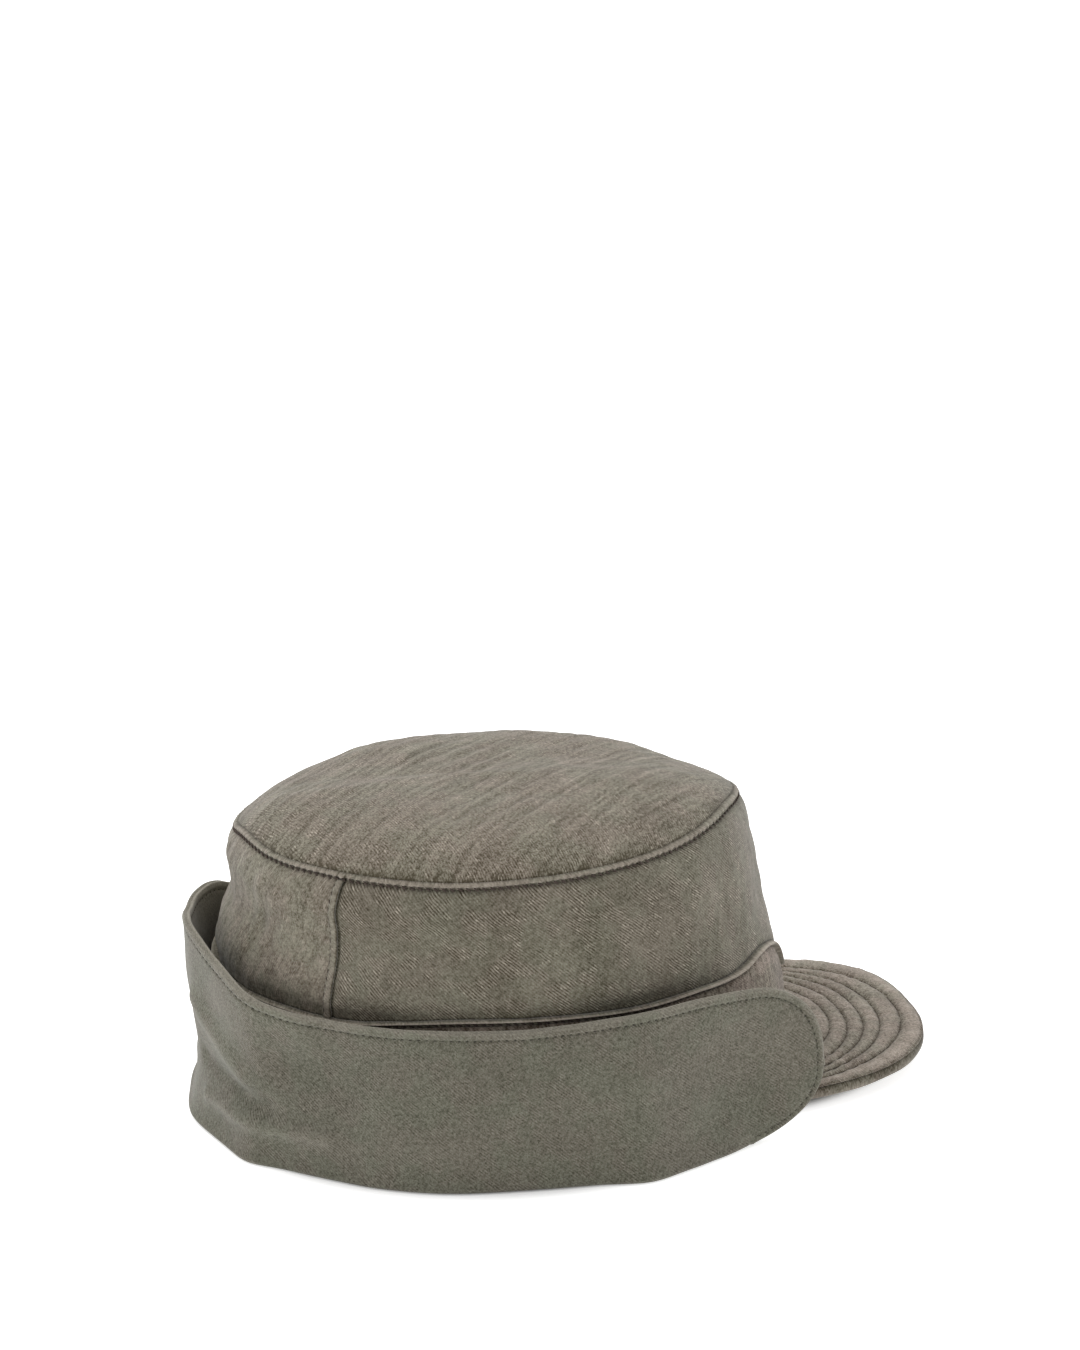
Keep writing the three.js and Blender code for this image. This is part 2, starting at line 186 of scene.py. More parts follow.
def cloth_map(angle, height):
    """The place on the flat cloth of a point round the head, in metres."""
    return np.stack([np.radians(angle) * HEAD_RADIUS, height], -1) / 1000


def behind_rear_seam(angle):
    """How far behind the middle of the nearer rear seam an angle is, in mm."""
    return (np.abs(turned(angle)) - REAR_SEAM_ANGLE) * MM_PER_DEGREE


def top_seam(angle):
    """Height of the seam round the top."""
    return row_at(TOP_SEAM, turned(angle))[..., 1]


def lower_seam(angle):
    """Height of the seam under the wall."""
    return row_at(LOWER_SEAM, np.abs(turned(angle)))[..., 1]


def run_along(points):
    """How far along a line of points each one is, in mm."""
    steps = np.linalg.norm(np.diff(points, axis=0), axis=-1)
    return np.concatenate([[0], np.cumsum(steps)])


def holes_at(stitches):
    """1 at each stitch of a row and 0 between them, by how many stitches along it."""
    return 0.5 + 0.5 * np.cos(math.tau * stitches)


def needle_holes(angle, seam, lean=0.0):
    """1 at each stitch of a seam round the head and 0 between them, leaning by so many stitches."""
    angles = np.linspace(0, 360, 1441)
    run = run_along(wall_point(angles, seam(angles)))
    stitches = round(run[-1] / STITCH)
    phase = np.interp(np.mod(angle, 360), angles, run) / run[-1] * stitches
    return holes_at(phase + lean)


def cloth(name, outer, inner, uv, material, ring=False, pole=False, edge=(), wear_and_painted_light=0.0,
          inside_wear_and_painted_light=0.0):
    """A closed piece of cloth between two grids of points in mm, across by up. In a ring the last
    column is the first again; with a pole the last row is one point. edge gives the steps round
    its edges, each as how far out in mm and what share of the way through. The tones given for
    its outside and inside are lighter above 0: they hold real wear, painted highlights and
    painted shade."""
    across, up = outer.shape[0] - 1, outer.shape[1] - 1
    columns = across if ring else across + 1
    size = columns * (up + 1)
    points = [outer[:columns].reshape(-1, 3), inner[:columns].reshape(-1, 3)]
    tone, tone_inside = [np.broadcast_to(side, outer.shape[:-1])[:columns].ravel()
                         for side in (wear_and_painted_light, inside_wear_and_painted_light)]
    tones = [tone, tone_inside]
    at = np.arange(size).reshape(columns, up + 1)
    place = at
    if ring:
        place = np.concatenate([at, at[:1]])
    corners = [place[:-1, :-1], place[1:, :-1], place[1:, 1:], place[:-1, 1:]]
    corner_uv = [uv[:-1, :-1], uv[1:, :-1], uv[1:, 1:], uv[:-1, 1:]]
    faces = [np.stack(corners, -1).reshape(-1, 4)]
    face_uv = [np.stack(corner_uv, -2).reshape(-1, 4, 2)]
    faces.append(faces[0][:, ::-1] + size)
    face_uv.append(face_uv[0][:, ::-1])
    if ring:
        loops = [(place[:, 0], uv[:, 0])]
        if not pole:
            loops.append((place[::-1, up], uv[::-1, up]))
    else:
        border = [place[:-1, 0], place[-1, :-1], place[:0:-1, -1], place[0, :0:-1]]
        border_uv = [uv[:-1, 0], uv[-1, :-1], uv[:0:-1, -1], uv[0, :0:-1]]
        loops = [[np.concatenate(sides + [sides[0][:1]]) for sides in (border, border_uv)]]
    base = np.concatenate(points)
    start = len(base)
    extra = []
    for line, line_uv in loops:
        steps = len(line) - 1
        ids = line[:-1]
        front, back = base[ids], base[ids + size]
        along = np.roll(front, -1, 0) - np.roll(front, 1, 0)
        outwards = np.cross(along, front - back)
        outwards /= np.maximum(np.linalg.norm(outwards, axis=-1, keepdims=True), 1e-9)
        flat = line_uv[:-1]
        flat_along = np.roll(flat, -1, 0) - np.roll(flat, 1, 0)
        if ring:
            flat_along[0], flat_along[-1] = flat_along[1], flat_along[-2]
        flat_out = np.stack([flat_along[:, 1], -flat_along[:, 0]], -1)
        flat_out /= np.maximum(np.linalg.norm(flat_out, axis=-1, keepdims=True), 1e-9)
        flat_out = np.concatenate([flat_out, flat_out[:1]])
        layers, flats = [ids], [line_uv]
        walked, last = 0.0, (0.0, 0.0)
        thick = float(np.linalg.norm(front - back, axis=-1).mean())
        for out, through in [*edge, (0.0, 1.0)]:
            walked += math.hypot(out - last[0], (through - last[1]) * thick)
            last = (out, through)
            flats.append(line_uv + flat_out * walked / 1000)
            if through == 1.0:
                layers.append(ids + size)
                break
            extra.append(front + (back - front) * through + outwards * out)
            tones.append(tone[ids] + (tone_inside[ids] - tone[ids]) * through)
            layers.append(np.arange(start, start + steps))
            start += steps
        for k in range(len(layers) - 1):
            near, far = layers[k], layers[k + 1]
            near_next, far_next = np.roll(near, -1), np.roll(far, -1)
            faces.append(np.stack([far, far_next, near_next, near], -1))
            strip = [flats[k + 1][:-1], flats[k + 1][1:], flats[k][1:], flats[k][:-1]]
            face_uv.append(np.stack(strip, 1))
    return add_mesh(name, np.concatenate([base, *extra]), np.concatenate(faces),
                    np.concatenate(face_uv), np.concatenate(tones), material, pole)


def show(name, data):
    """A new object in the scene."""
    thing = bpy.data.objects.new(name, data)
    bpy.context.scene.collection.objects.link(thing)
    return thing


def add_mesh(name, points, faces, face_uv, tones, material, weld):
    """A smooth mesh of four-cornered faces, from points in mm, a cloth map in metres and tones."""
    mesh = bpy.data.meshes.new(name)
    mesh.vertices.add(len(points))
    mesh.vertices.foreach_set("co", (points / 1000).astype(np.float32).ravel())
    mesh.loops.add(faces.size)
    mesh.loops.foreach_set("vertex_index", faces.astype(np.int32).ravel())
    mesh.polygons.add(len(faces))
    mesh.polygons.foreach_set("loop_start", np.arange(0, faces.size, 4, dtype=np.int32))
    mesh.update(calc_edges=True)
    cloth_map = mesh.uv_layers.new(name="cloth")
    cloth_map.uv.foreach_set("vector", face_uv.astype(np.float32).ravel())
    # The tones hold wear together with painted highlights and painted shade, for the twill to read.
    mesh.attributes.new("wear_and_painted_light", "FLOAT", "POINT").data.foreach_set("value", tones.astype(np.float32))
    if weld:
        made = bmesh.new()
        made.from_mesh(mesh)
        bmesh.ops.remove_doubles(made, verts=made.verts, dist=1e-7)
        made.to_mesh(mesh)
        made.free()
    mesh.shade_smooth()
    mesh.materials.append(material)
    return show(name, mesh)


def sew_on(piece, slot, *nodes):
    """The piece belongs to the cap and stands for these solids, which are hidden. slot is not used."""
    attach(piece, "root")
    if nodes:
        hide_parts(*nodes)


class Signal:
    """A socket of a node tree. A sum with other signals or numbers adds its Math node."""

    def __init__(self, tree, socket):
        self.tree = tree
        self.socket = socket

    def math(self, operation, *values):
        return make_node(self.tree, "ShaderNodeMath", {"operation": operation}, dict(enumerate(values)))

    def __add__(self, other):
        return self.math("ADD", self, other)

    def __sub__(self, other):
        return self.math("SUBTRACT", self, other)

    def __rsub__(self, other):
        return self.math("SUBTRACT", other, self)

    def __mul__(self, other):
        return self.math("MULTIPLY", self, other)

    __radd__ = __add__
    __rmul__ = __mul__

    def sine(self):
        return self.math("SINE", self)

    def between(self, low, high):
        """0 below low, 1 above high, and smooth between them."""
        settings = {"interpolation_type": "SMOOTHSTEP"}
        return make_node(self.tree, "ShaderNodeMapRange", settings, {0: self, 1: low, 2: high})

    def mix(self, colour, other):
        """The first colour where this is 0, the other where it is 1."""
        settings = {"data_type": "RGBA"}
        return make_node(self.tree, "ShaderNodeMix", settings, {0: self, 6: colour, 7: other}, 2)

    def vector(self, operation, values, output=0):
        settings = {"operation": operation}
        return make_node(self.tree, "ShaderNodeVectorMath", settings, {0: self, **values}, output)

    def scaled(self, amount):
        """This vector or colour, times a number."""
        return self.vector("SCALE", {"Scale": amount})

    def moved(self, other):
        """This vector plus another."""
        return self.vector("ADD", {1: other})

    def laid(self, rise, squeeze):
        """This place on the cloth, measured along a line that rises so many degrees and squeezed
        along it, then across it."""
        settings = {"rotation_type": "Z_AXIS"}
        inputs = {0: self, "Angle": -math.radians(rise)}
        turn = make_node(self.tree, "ShaderNodeVectorRotate", settings, inputs)
        return turn.vector("MULTIPLY", {1: (squeeze, 1.0, 1.0)})

    def noise(self, length, detail=0.0, rough=1.0, output=0):
        """Soft noise over this place with spots about so long, and as much again of finer ones."""
        inputs = {"Vector": self, "Scale": 1 / length, "Detail": detail, "Roughness": rough}
        return make_node(self.tree, "ShaderNodeTexNoise", {}, inputs, output)


def make_node(tree, kind, settings, inputs, output=0):
    """A node of a kind, with its settings, and the values or signals of its sockets."""
    node = tree.nodes.new(kind)
    for name, value in settings.items():
        setattr(node, name, value)
    for name, value in inputs.items():
        if isinstance(value, Signal):
            tree.links.new(value.socket, node.inputs[name])
        else:
            node.inputs[name].default_value = value
    return Signal(tree, node.outputs[output])


def new_finish(name, roughness):
    """A new material, with its node tree and its shader."""
    material = bpy.data.materials.new(name)
    material.use_nodes = True
    shader = material.node_tree.nodes["Principled BSDF"]
    shader.inputs["Roughness"].default_value = roughness
    return material, material.node_tree, shader


def shade(*numbers):
    """A colour from its 0 to 255 screen numbers."""
    return (*[((n / 255 + 0.055) / 1.055) ** 2.4 for n in numbers], 1.0)


RIB = 0.87  # from one rib of the twill to the next


def twill(name, colour, rise=-42.0, ribs=0.2, flecks=0.4, nap=2.0, grain=1.1, lumps=0.15, streaks=0.0,
          streak_rise=90.0, streak_width=3.0, streak_squeeze=0.14, mottle=1.0):
    """Washed cotton twill: fine diagonal ribs that show in patches with pale flecks, an uneven nap,
    streaks of wear and mottling. The mesh's tone makes it paler where it is worn and where
    highlights are painted on its ridges, and darker where shade is painted in its grooves and seams."""
    material, tree, shader = new_finish(name, 0.92)
    flat = make_node(tree, "ShaderNodeUVMap", {"uv_map": "cloth"}, {}).scaled(1000.0)
    # The threads wander a little. Their ribs show in patches, with pale flecks along them.
    place = flat.moved(flat.noise(6.0, 1.0, 0.6, 1).scaled(0.9))
    ribbed = place.laid(rise, 0.35)
    across = make_node(tree, "ShaderNodeSeparateXYZ", {}, {0: ribbed}, 1)
    rib_wave = (across * (math.tau / RIB)).sine()
    patches = place.noise(8.0, 1.0, 0.8).between(0.44, 0.6)
    pale = ribbed.noise(0.6, 1.0, 0.6).between(0.55, 0.72) * (patches * 0.75 + 0.25)
    pale = pale * (rib_wave * 0.4 + 0.6)
    # Nap, lumps in the yarn, streaks of wear, and broad mottling from washing.
    fuzz = place.noise(grain, 1.0, 1.0) - 0.5
    lump = place.noise(3.0) - 0.5
    worn_runs = flat.laid(streak_rise, streak_squeeze).noise(streak_width, 1.0, 0.6) - 0.5
    cloud = place.noise(17.0, 2.0, 0.6) - 0.5
    # The mesh's tone: wear, painted highlights and painted shade.
    wear_and_painted_light = make_node(tree, "ShaderNodeAttribute", {"attribute_name": "wear_and_painted_light"}, {}, 2)
    tone = rib_wave * (patches * ribs + ribs * 0.35) + pale * flecks + fuzz * nap + lump * lumps
    tone = tone + worn_runs * streaks + cloud * mottle + wear_and_painted_light + (1.0 - flecks * 0.1)
    # The hue hardly changes from dark to pale, so the tone picks between two colours that are as far
    # from the middle one in each of its three numbers.
    dark, pale_end = [shade(*[n + step for n in colour]) for step in (-48, 70)]
    middle = shade(*colour)[1]
    gain = middle / (pale_end[1] - dark[1])
    picked = tone.math("MULTIPLY_ADD", tone, gain, -dark[1] / (pale_end[1] - dark[1]))
    # It drifts a little from greener to browner, though, and is browner where the mesh's tone is
    # higher: where it is worn and where highlights are painted.
    hue = (place.noise(24.0, 1.0, 0.8) + patches * 0.14 + wear_and_painted_light * 0.3).between(0.4, 0.7)
    greener = hue.mix((0.98, 1.01, 0.98, 1), (1.025, 0.99, 0.995, 1))
    colour = picked.mix(dark, pale_end).vector("MULTIPLY", {1: greener})
    height = rib_wave * 0.25 + fuzz * 1.5 + lump * 0.8
    bump = make_node(tree, "ShaderNodeBump", {}, {"Strength": 0.5, "Distance": 0.0002, "Height": height})
    tree.links.new(colour.socket, shader.inputs["Base Color"])
    tree.links.new(bump.socket, shader.inputs["Normal"])
    shader.inputs["Specular IOR Level"].default_value = 0.25
    shader.inputs["Sheen Weight"].default_value = 0.2
    shader.inputs["Sheen Roughness"].default_value = 0.5
    return material


side_twill = twill("side_twill", (109, 103, 88), ribs=0.34, flecks=1.2, nap=1.7, grain=1.0, mottle=0.8)
SIDE_HOLLOW = 1.6  # how far the panel dips to the seam below
STITCH_DIP = 0.7  # and to the stitches above
REAR_RIPPLE = 0.32
FRONT_END = 74  # degrees from the front, where the seam under the wall is like that at the sides
FRONT_FADE = 34  # and over how many it changes
SEAM_DITCH = 1.75  # from the middle of a rear seam forward to the ditch at its fold
ROWS_CLOSER = 0.045  # how much closer the mesh rows lie near the two seams
FRONT_WEAR = -44  # angle of the palest upright streaks
REAR_WEAR = -124  # and of a paler patch near the rear seam


def panel_ends(angle):
    """The heights of a side panel's lower and upper edges."""
    return lower_seam(angle) + LOWER_WELT / 2, top_seam(angle) - TOP_WELT


def upright_ripples(angle, height, length, seed):
    """Uneven ripples, about so long in mm, that run up the wall and lean a little."""
    spot = np.stack([np.radians(turned(angle - 180)) * HEAD_RADIUS - 0.3 * height, 0.16 * height], -1)
    return waves(spot, length, seed)


def front_share(angle):
    """1 round the front of the seam, where the bead is thick, and 0 at the sides and the back."""
    share = np.clip((FRONT_END - np.abs(turned(angle))) / FRONT_FADE, 0, 1)
    return share * share * (3 - 2 * share)


def panel_relief(angle, height):
    """How far the side wall's cloth stands out from the plain wall."""
    low, high = panel_ends(angle)
    place = wall_point(angle, height)
    relief = 0.3 * waves(place, 26, 3) + 0.1 * waves(place, 9, 4)
    # The rear panel is more rippled than the front one.
    rear = 1 / (1 + np.exp((np.abs(turned(angle)) - REAR_SEAM_ANGLE) * -0.8))
    ripple = upright_ripples(angle, height, 8.0, 5) * hump(height - (low + high) / 2, 24)
    relief = relief + REAR_RIPPLE * ripple * (0.25 + 0.75 * rear)
    # The cloth dips to the seam below, less so in front, to the stitches above and along the rear
    # seams, and it puffs up under the stitches.
    front = front_share(angle)
    relief = relief - SIDE_HOLLOW * (1 - 0.6 * front) * hump(height - low, 4.5 - 2.5 * front)
    relief = relief - (STITCH_DIP + 0.4 * needle_holes(angle, top_seam)) * hump(height - high, 0.9)
    relief = relief - 0.5 * hump(behind_rear_seam(angle) + SEAM_DITCH, 0.35)
    return relief + 0.35 * hump(high - height - 3.5, 2.6)


def side_panel(name, start, end, across, up, material, node):
    """One panel of the wall between two angles, with painted shade in its seams and paler where it is worn.
    """
    angle = np.linspace(start, end, across + 1)[:, None]
    rise = np.linspace(0, 1, up + 1)[None, :]
    rise = rise - ROWS_CLOSER * np.sin(math.tau * rise)
    low, high = panel_ends(angle)
    height = low + (high - low) * rise
    angle = np.broadcast_to(angle, height.shape)
    relief = panel_relief(angle, height)
    outer = wall_point(angle, height, relief)
    inner = wall_point(angle, height, relief - PANEL)
    # The seam below, the stitches above and the ditches get painted shade, and a broad painted
    # shade lies over the hollow above the seam. Two worn places are paler.
    front = front_share(angle)
    wear_and_painted_light = -0.2 * (1 - front) * hump(height - low, 3.5) - 0.12 * hump(height - high, 0.6)
    wear_and_painted_light = wear_and_painted_light - (0.45 + 0.5 * front) * hump(height - low, 0.5)
    wear_and_painted_light = wear_and_painted_light - 0.55 * hump(behind_rear_seam(angle) + SEAM_DITCH, 0.4)
    streaky = 0.5 + 0.5 * upright_ripples(angle, height, 5.0, 6)
    wear_and_painted_light = wear_and_painted_light + 0.24 * hump(turned(angle) - FRONT_WEAR, 15) * streaky * hump(height - 80, 18)
    wear_and_painted_light = wear_and_painted_light + 0.14 * hump(turned(angle) - REAR_WEAR, 14) * hump(height - 70, 14)
    piece = cloth(name, outer, inner, cloth_map(angle, height), material, wear_and_painted_light=wear_and_painted_light)
    sew_on(piece, "crown_twill", node)


REAR_FROM = REAR_SEAM_ANGLE + math.degrees(GAP / HEAD_RADIUS)
side_panel("front_side_cloth", -REAR_SEAM_ANGLE, REAR_SEAM_ANGLE, 520, 56, side_twill, "front_side_panel")
rear_twill = twill("rear_twill", (118, 111, 96), rise=68, ribs=0.06, flecks=0.7, streaks=0.9, streak_rise=72,
                   streak_width=2.6)
side_panel("rear_cloth", REAR_FROM, 360 - REAR_FROM, 170, 56, rear_twill, "rear_panel")

# The upright rear seams
# Each is a doubled strip where the two side panels overlap. Its front edge is a sharp fold, and
# its rear edge is topstitched flat.
STRIP = 0.9  # how far a strip stands out
STRIP_ROWS = 81
STRIP_MIDDLE = 12  # columns either side of the middle one
STRIP_STITCHES = 0.72  # of the way from its middle to its rear edge
INSIDE = -5.0  # a place well inside the wall, which tells the way the cloth faces
seam_twill = twill("seam_twill", (119, 112, 98), ribs=0.1, flecks=0.4, nap=1.6, mottle=0.6)
STITCH_LONG = 2.1


def thread_finish(name, dark, light):
    """Matt sewing thread, a little uneven."""
    material, tree, shader = new_finish(name, 0.8)
    place = make_node(tree, "ShaderNodeTexCoord", {}, {}, 3)
    twist = place.scaled(1000.0).noise(0.5, 1.0)
    tree.links.new(twist.mix(dark, light).socket, shader.inputs["Base Color"])
    return material


seam_thread = thread_finish("seam_thread", shade(44, 34, 28), shade(68, 54, 45))


def stitch_tree():
    """Puts one stitch at every step along a line, lying flat on what the line faces."""
    tree = bpy.data.node_groups.new("topstitch", "GeometryNodeTree")
    face = tree.interface
    face.new_socket("Line", in_out="INPUT", socket_type="NodeSocketGeometry")
    for name in ("Pitch", "Long", "Thick", "Slant"):
        face.new_socket(name, in_out="INPUT", socket_type="NodeSocketFloat")
    face.new_socket("Thread", in_out="INPUT", socket_type="NodeSocketMaterial")
    face.new_socket("Stitches", in_out="OUTPUT", socket_type="NodeSocketGeometry")
    given = tree.nodes.new("NodeGroupInput")
    line, pitch, long, thick, slant, finish = [Signal(tree, given.outputs[k]) for k in range(6)]
    curve = make_node(tree, "GeometryNodeMeshToCurve", {}, {0: line})
    steps = make_node(tree, "GeometryNodeResampleCurve", {"mode": "LENGTH"},
                      {"Curve": curve, "Length": pitch})
    ball = make_node(tree, "GeometryNodeMeshUVSphere", {}, {"Segments": 6, "Rings": 4, "Radius": 0.5})
    size = make_node(tree, "ShaderNodeCombineXYZ", {}, {0: long, 1: thick, 2: thick})
    grain = make_node(tree, "GeometryNodeTransform", {}, {"Geometry": ball, "Scale": size})
    heading = make_node(tree, "GeometryNodeInputTangent", {}, {})
    facing = make_node(tree, "GeometryNodeInputNamedAttribute", {"data_type": "FLOAT_VECTOR"},
                       {"Name": "facing"})
    flat = make_node(tree, "FunctionNodeAlignRotationToVector", {"axis": "Z"}, {"Vector": facing})
    laid = make_node(tree, "FunctionNodeAlignRotationToVector", {"axis": "X", "pivot_axis": "Z"},
                     {"Rotation": flat, "Vector": heading})
    lean = make_node(tree, "ShaderNodeCombineXYZ", {}, {2: slant})
    leaned = make_node(tree, "FunctionNodeRotateRotation", {"rotation_space": "LOCAL"},
                       {"Rotation": laid, "Rotate By": lean})
    placed = make_node(tree, "GeometryNodeInstanceOnPoints", {},
                       {"Points": steps, "Instance": grain, "Rotation": leaned})
    real = make_node(tree, "GeometryNodeRealizeInstances", {}, {0: placed})
    dressed = make_node(tree, "GeometryNodeSetMaterial", {}, {"Geometry": real, "Material": finish})
    made = tree.nodes.new("NodeGroupOutput")
    tree.links.new(dressed.socket, made.inputs[0])
    return tree


topstitches = stitch_tree()


def topstitch(name, path, facing, slot, closed=False, pitch=STITCH, long=STITCH_LONG, thick=0.42, slant=0.0,
              thread=seam_thread):
    """A row of machine stitches along points in mm, on cloth that faces these ways."""
    line = bpy.data.meshes.new(name)
    edges = [(k, k + 1) for k in range(len(path) - 1)]
    if closed:
        edges.append((len(path) - 1, 0))
    line.from_pydata((path / 1000).tolist(), edges, [])
    ways = line.attributes.new("facing", "FLOAT_VECTOR", "POINT")
    ways.data.foreach_set("vector", np.asarray(facing, np.float32).ravel())
    carrier = show(name + "_line", line)
    modifier = carrier.modifiers.new("topstitch", "NODES")
    modifier.node_group = topstitches
    wanted = {"Pitch": pitch / 1000, "Long": long / 1000, "Thick": thick / 1000, "Slant": slant,
              "Thread": thread}
    for item in topstitches.interface.items_tree:
        if item.name in wanted:
            modifier[item.identifier] = wanted[item.name]
    sewn = carrier.evaluated_get(bpy.context.evaluated_depsgraph_get())
    mesh = bpy.data.meshes.new_from_object(sewn)
    bpy.data.objects.remove(carrier)
    mesh.shade_smooth()
    sew_on(show(name, mesh), slot)


def facing_from(points, inside):
    """Unit directions from points on the inside of the cloth to those on its outside."""
    way = points - inside
    return way / np.linalg.norm(way, axis=-1, keepdims=True)


def rear_strip(name, middle, stitched_side, node):
    """The strip at one angle and its stitches. stitched_side is 1 or -1 towards its rear edge."""
    half = math.degrees(REAR_SEAM / 2 / HEAD_RADIUS)
    share = np.linspace(-1, 1, 2 * STRIP_MIDDLE + 1)[:, None]
    rise = np.linspace(0, 1, STRIP_ROWS)[None, :]
    angle = middle + share * half
    low, high = panel_ends(angle)
    height = low + (high - low) * rise
    angle = np.broadcast_to(angle, height.shape)
    side = share * stitched_side
    # Both edges round off, the stitched one more softly, and the stitches draw in a groove.
    fall = np.where(side > 0, 0.75 * side**4, 0.4 * side**6)
    holes = holes_at((height - height[:, :1]) / STITCH)
    groove = (0.3 + 0.25 * holes) * hump(side - STRIP_STITCHES, 0.18)
    stand = GAP + STRIP * (1 - fall) - groove + 0.05 * waves(wall_point(angle, height), 6, 8)
    relief = panel_relief(np.full(height.shape, float(middle)), height)
    outer = wall_point(angle, height, relief + stand)
    inner = wall_point(angle, height, relief + 0.1)
    # The middle gets a faint painted highlight, and the stitches, the fold and the foot by the seam
    # below get painted shade.
    wear_and_painted_light = 0.15 * hump(side + 0.2, 0.6) - 0.3 * hump(side - STRIP_STITCHES, 0.13) - 0.6 * hump(side + 1, 0.14)
    wear_and_painted_light = np.broadcast_to(wear_and_painted_light, height.shape) - 0.2 * hump(height - low, 2.0)
    piece = cloth(name, outer, inner, cloth_map(angle, height), seam_twill, wear_and_painted_light=wear_and_painted_light)
    sew_on(piece, "seam_twill", node)
    rows = height[STRIP_MIDDLE]
    row = np.full(STRIP_ROWS, middle + STRIP_STITCHES * half * stitched_side)
    path = wall_point(row, rows, relief[STRIP_MIDDLE] + GAP + 0.35)
    facing = facing_from(path, wall_point(row, rows, INSIDE))
    topstitch(name + "_stitches", path, facing, "seam_twill", long=1.9, thick=0.5)


rear_strip("rear_seam_left_cloth", REAR_SEAM_ANGLE, 1, "rear_seam_left")
rear_strip("rear_seam_right_cloth", -REAR_SEAM_ANGLE, -1, "rear_seam_right")

# The oval top
# One panel of the same twill, sewn edge to edge with the side wall. It domes softly, it is crinkled
# in slanting lines from washing, and it puckers where it rolls down into the seam.
TOP_MIDDLE = 103.3  # height of its middle before it is domed
TOP_RADIUS = 75
TOP_CLOTH = 1.8
TOP_EDGE = [(0.6, 0.3), (0.6, 0.7)]
DOME = 11.6  # how far the dome rises
DOME_BACK = 14  # and how far it is highest behind the middle of the rim
# Where the dome swells a little more: its place, how wide and how high.
SWELLS = [(28, -28, 20, 2.1), (44, 50, 17, 1.6)]
RIM_INSET = 0.5
RIM_ROLL = 1.1  # how far the rim rolls down into the seam
STREAK_RISE = -51  # degrees, of the washed lines across the top
top_twill = twill("top_twill", (119, 111, 96), rise=15, ribs=0.16, flecks=1.0, nap=2.7, grain=0.75, lumps=0.1,
                  streaks=1.3, streak_rise=STREAK_RISE, streak_width=2.4, streak_squeeze=0.08, mottle=0.3)
angle = np.linspace(0, 360, 421)[:, None]
rise = np.linspace(0, 1, 75)[None, :]
share = 1 - rise**1.15
rim = wall_point(angle, top_seam(angle), -RIM_INSET)
front_y, rear_y = rim[0, 0, 1], rim[210, 0, 1]
middle = np.array([0, (front_y + rear_y) / 2 + DOME_BACK, TOP_MIDDLE])
plan = middle + (rim - middle) * share[..., None]
lift = GAP + DOME * (1 - share**4)
from_rim = np.broadcast_to((1 - share) * TOP_RADIUS, plan.shape[:-1])
for x, y, wide, high in SWELLS:
    lift = lift + high * hump(np.hypot(plan[..., 0] - x, plan[..., 1] - y), wide) * (1 - hump(from_rim, 8))
# The crinkle runs along the washed lines.
cosine, sine = math.cos(math.radians(STREAK_RISE)), math.sin(math.radians(STREAK_RISE))
crinkle_spot = np.stack([cosine * plan[..., 1] - sine * plan[..., 0],
                         0.08 * (cosine * plan[..., 0] + sine * plan[..., 1])], -1)
crinkle = 0.12 * waves(crinkle_spot, 5.0, 23)
pucker_spot = np.stack([np.radians(angle) * HEAD_RADIUS + 0 * from_rim, 0.3 * from_rim], -1)
pucker = 0.08 * waves(pucker_spot, 7.0, 24) * np.exp(-from_rim / 4.5)
# Swells, dents and the crinkle fade out towards the rim, and the puckers away from it.
relief = (0.35 * waves(plan, 34, 21) + 0.15 * waves(plan, 13, 22) + crinkle) * (1 - hump(from_rim, 5))
relief = relief + pucker * (1 - hump(from_rim, 0.8))
roll = RIM_ROLL * np.exp(-from_rim / 1.3)
thick = TOP_CLOTH - 1.1 * share**8
outer = plan.copy()
outer[..., 2] += lift + thick - roll + relief
inner = plan.copy()
inner[..., 2] += lift - roll * 0.3 + relief
# What stands up is painted paler, partly wear and partly painted highlight, and painted shade
# darkens the cloth down into the seam.
wear_and_painted_light = 0.35 * crinkle + 0.25 * pucker - 0.45 * np.exp(-from_rim / 0.8) - 0.12 * np.exp(-from_rim / 5)
piece = cloth("top_cloth", outer, inner, plan[..., :2] / 1000, top_twill, ring=True, pole=True, edge=TOP_EDGE,
              wear_and_painted_light=wear_and_painted_light)
sew_on(piece, "crown_twill", "top_panel")

# The top seam
# The seam allowances lie under the side wall's upper edge and are topstitched down, so the cloth
# puffs up between the seam and the stitches, and puckers at every stitch.
TOP_PUFF = 1.1
STITCH_LEAN = -0.45  # how far each pucker slants over the height of the edge, in stitches
STRIP_BUMP = 1.6  # half width of the bump over a rear seam
STRIP_SIDE = 1.7  # and from its middle to its dark sides
TOP_STITCH_UP = 0.15  # from the lower end of the edge
TOP_STITCH_OUT = 0.03  # from the plain wall


def top_welt_out(angle, share):
    """How far the stitched-down edge stands out, from its stitches at 0 to the seam at 1."""
    lip = np.clip((share - 0.1) / 0.9, 0, 1)
    puff = TOP_PUFF * np.sin(math.pi * lip**1.15) ** 0.8
    holes = needle_holes(angle, top_seam, STITCH_LEAN * share)
    pulled = (0.2 + 0.45 * holes) * hump(share - 0.2, 0.3)
    strip = hump(behind_rear_seam(angle) / STRIP_BUMP, 1.0) ** 2
    ridges = 0.24 * holes * np.sin(math.pi * share)
    return puff - 0.4 - pulled - ridges + 0.8 * strip * np.sin(math.pi * share) + 0.06 * np.sin(angle * 0.9)


angle = np.linspace(0, 360, 1261)[:, None]
share = np.linspace(0, 1, 13)[None, :]
height = top_seam(angle) - TOP_WELT * (1 - share)
wide_angle = np.broadcast_to(angle, height.shape)
outer = wall_point(wide_angle, height, top_welt_out(wide_angle, share))
inner = wall_point(wide_angle, height, -PANEL - STITCH_DIP - 0.6)
aside = behind_rear_seam(wide_angle)
pull = needle_holes(wide_angle, top_seam, STITCH_LEAN * share)
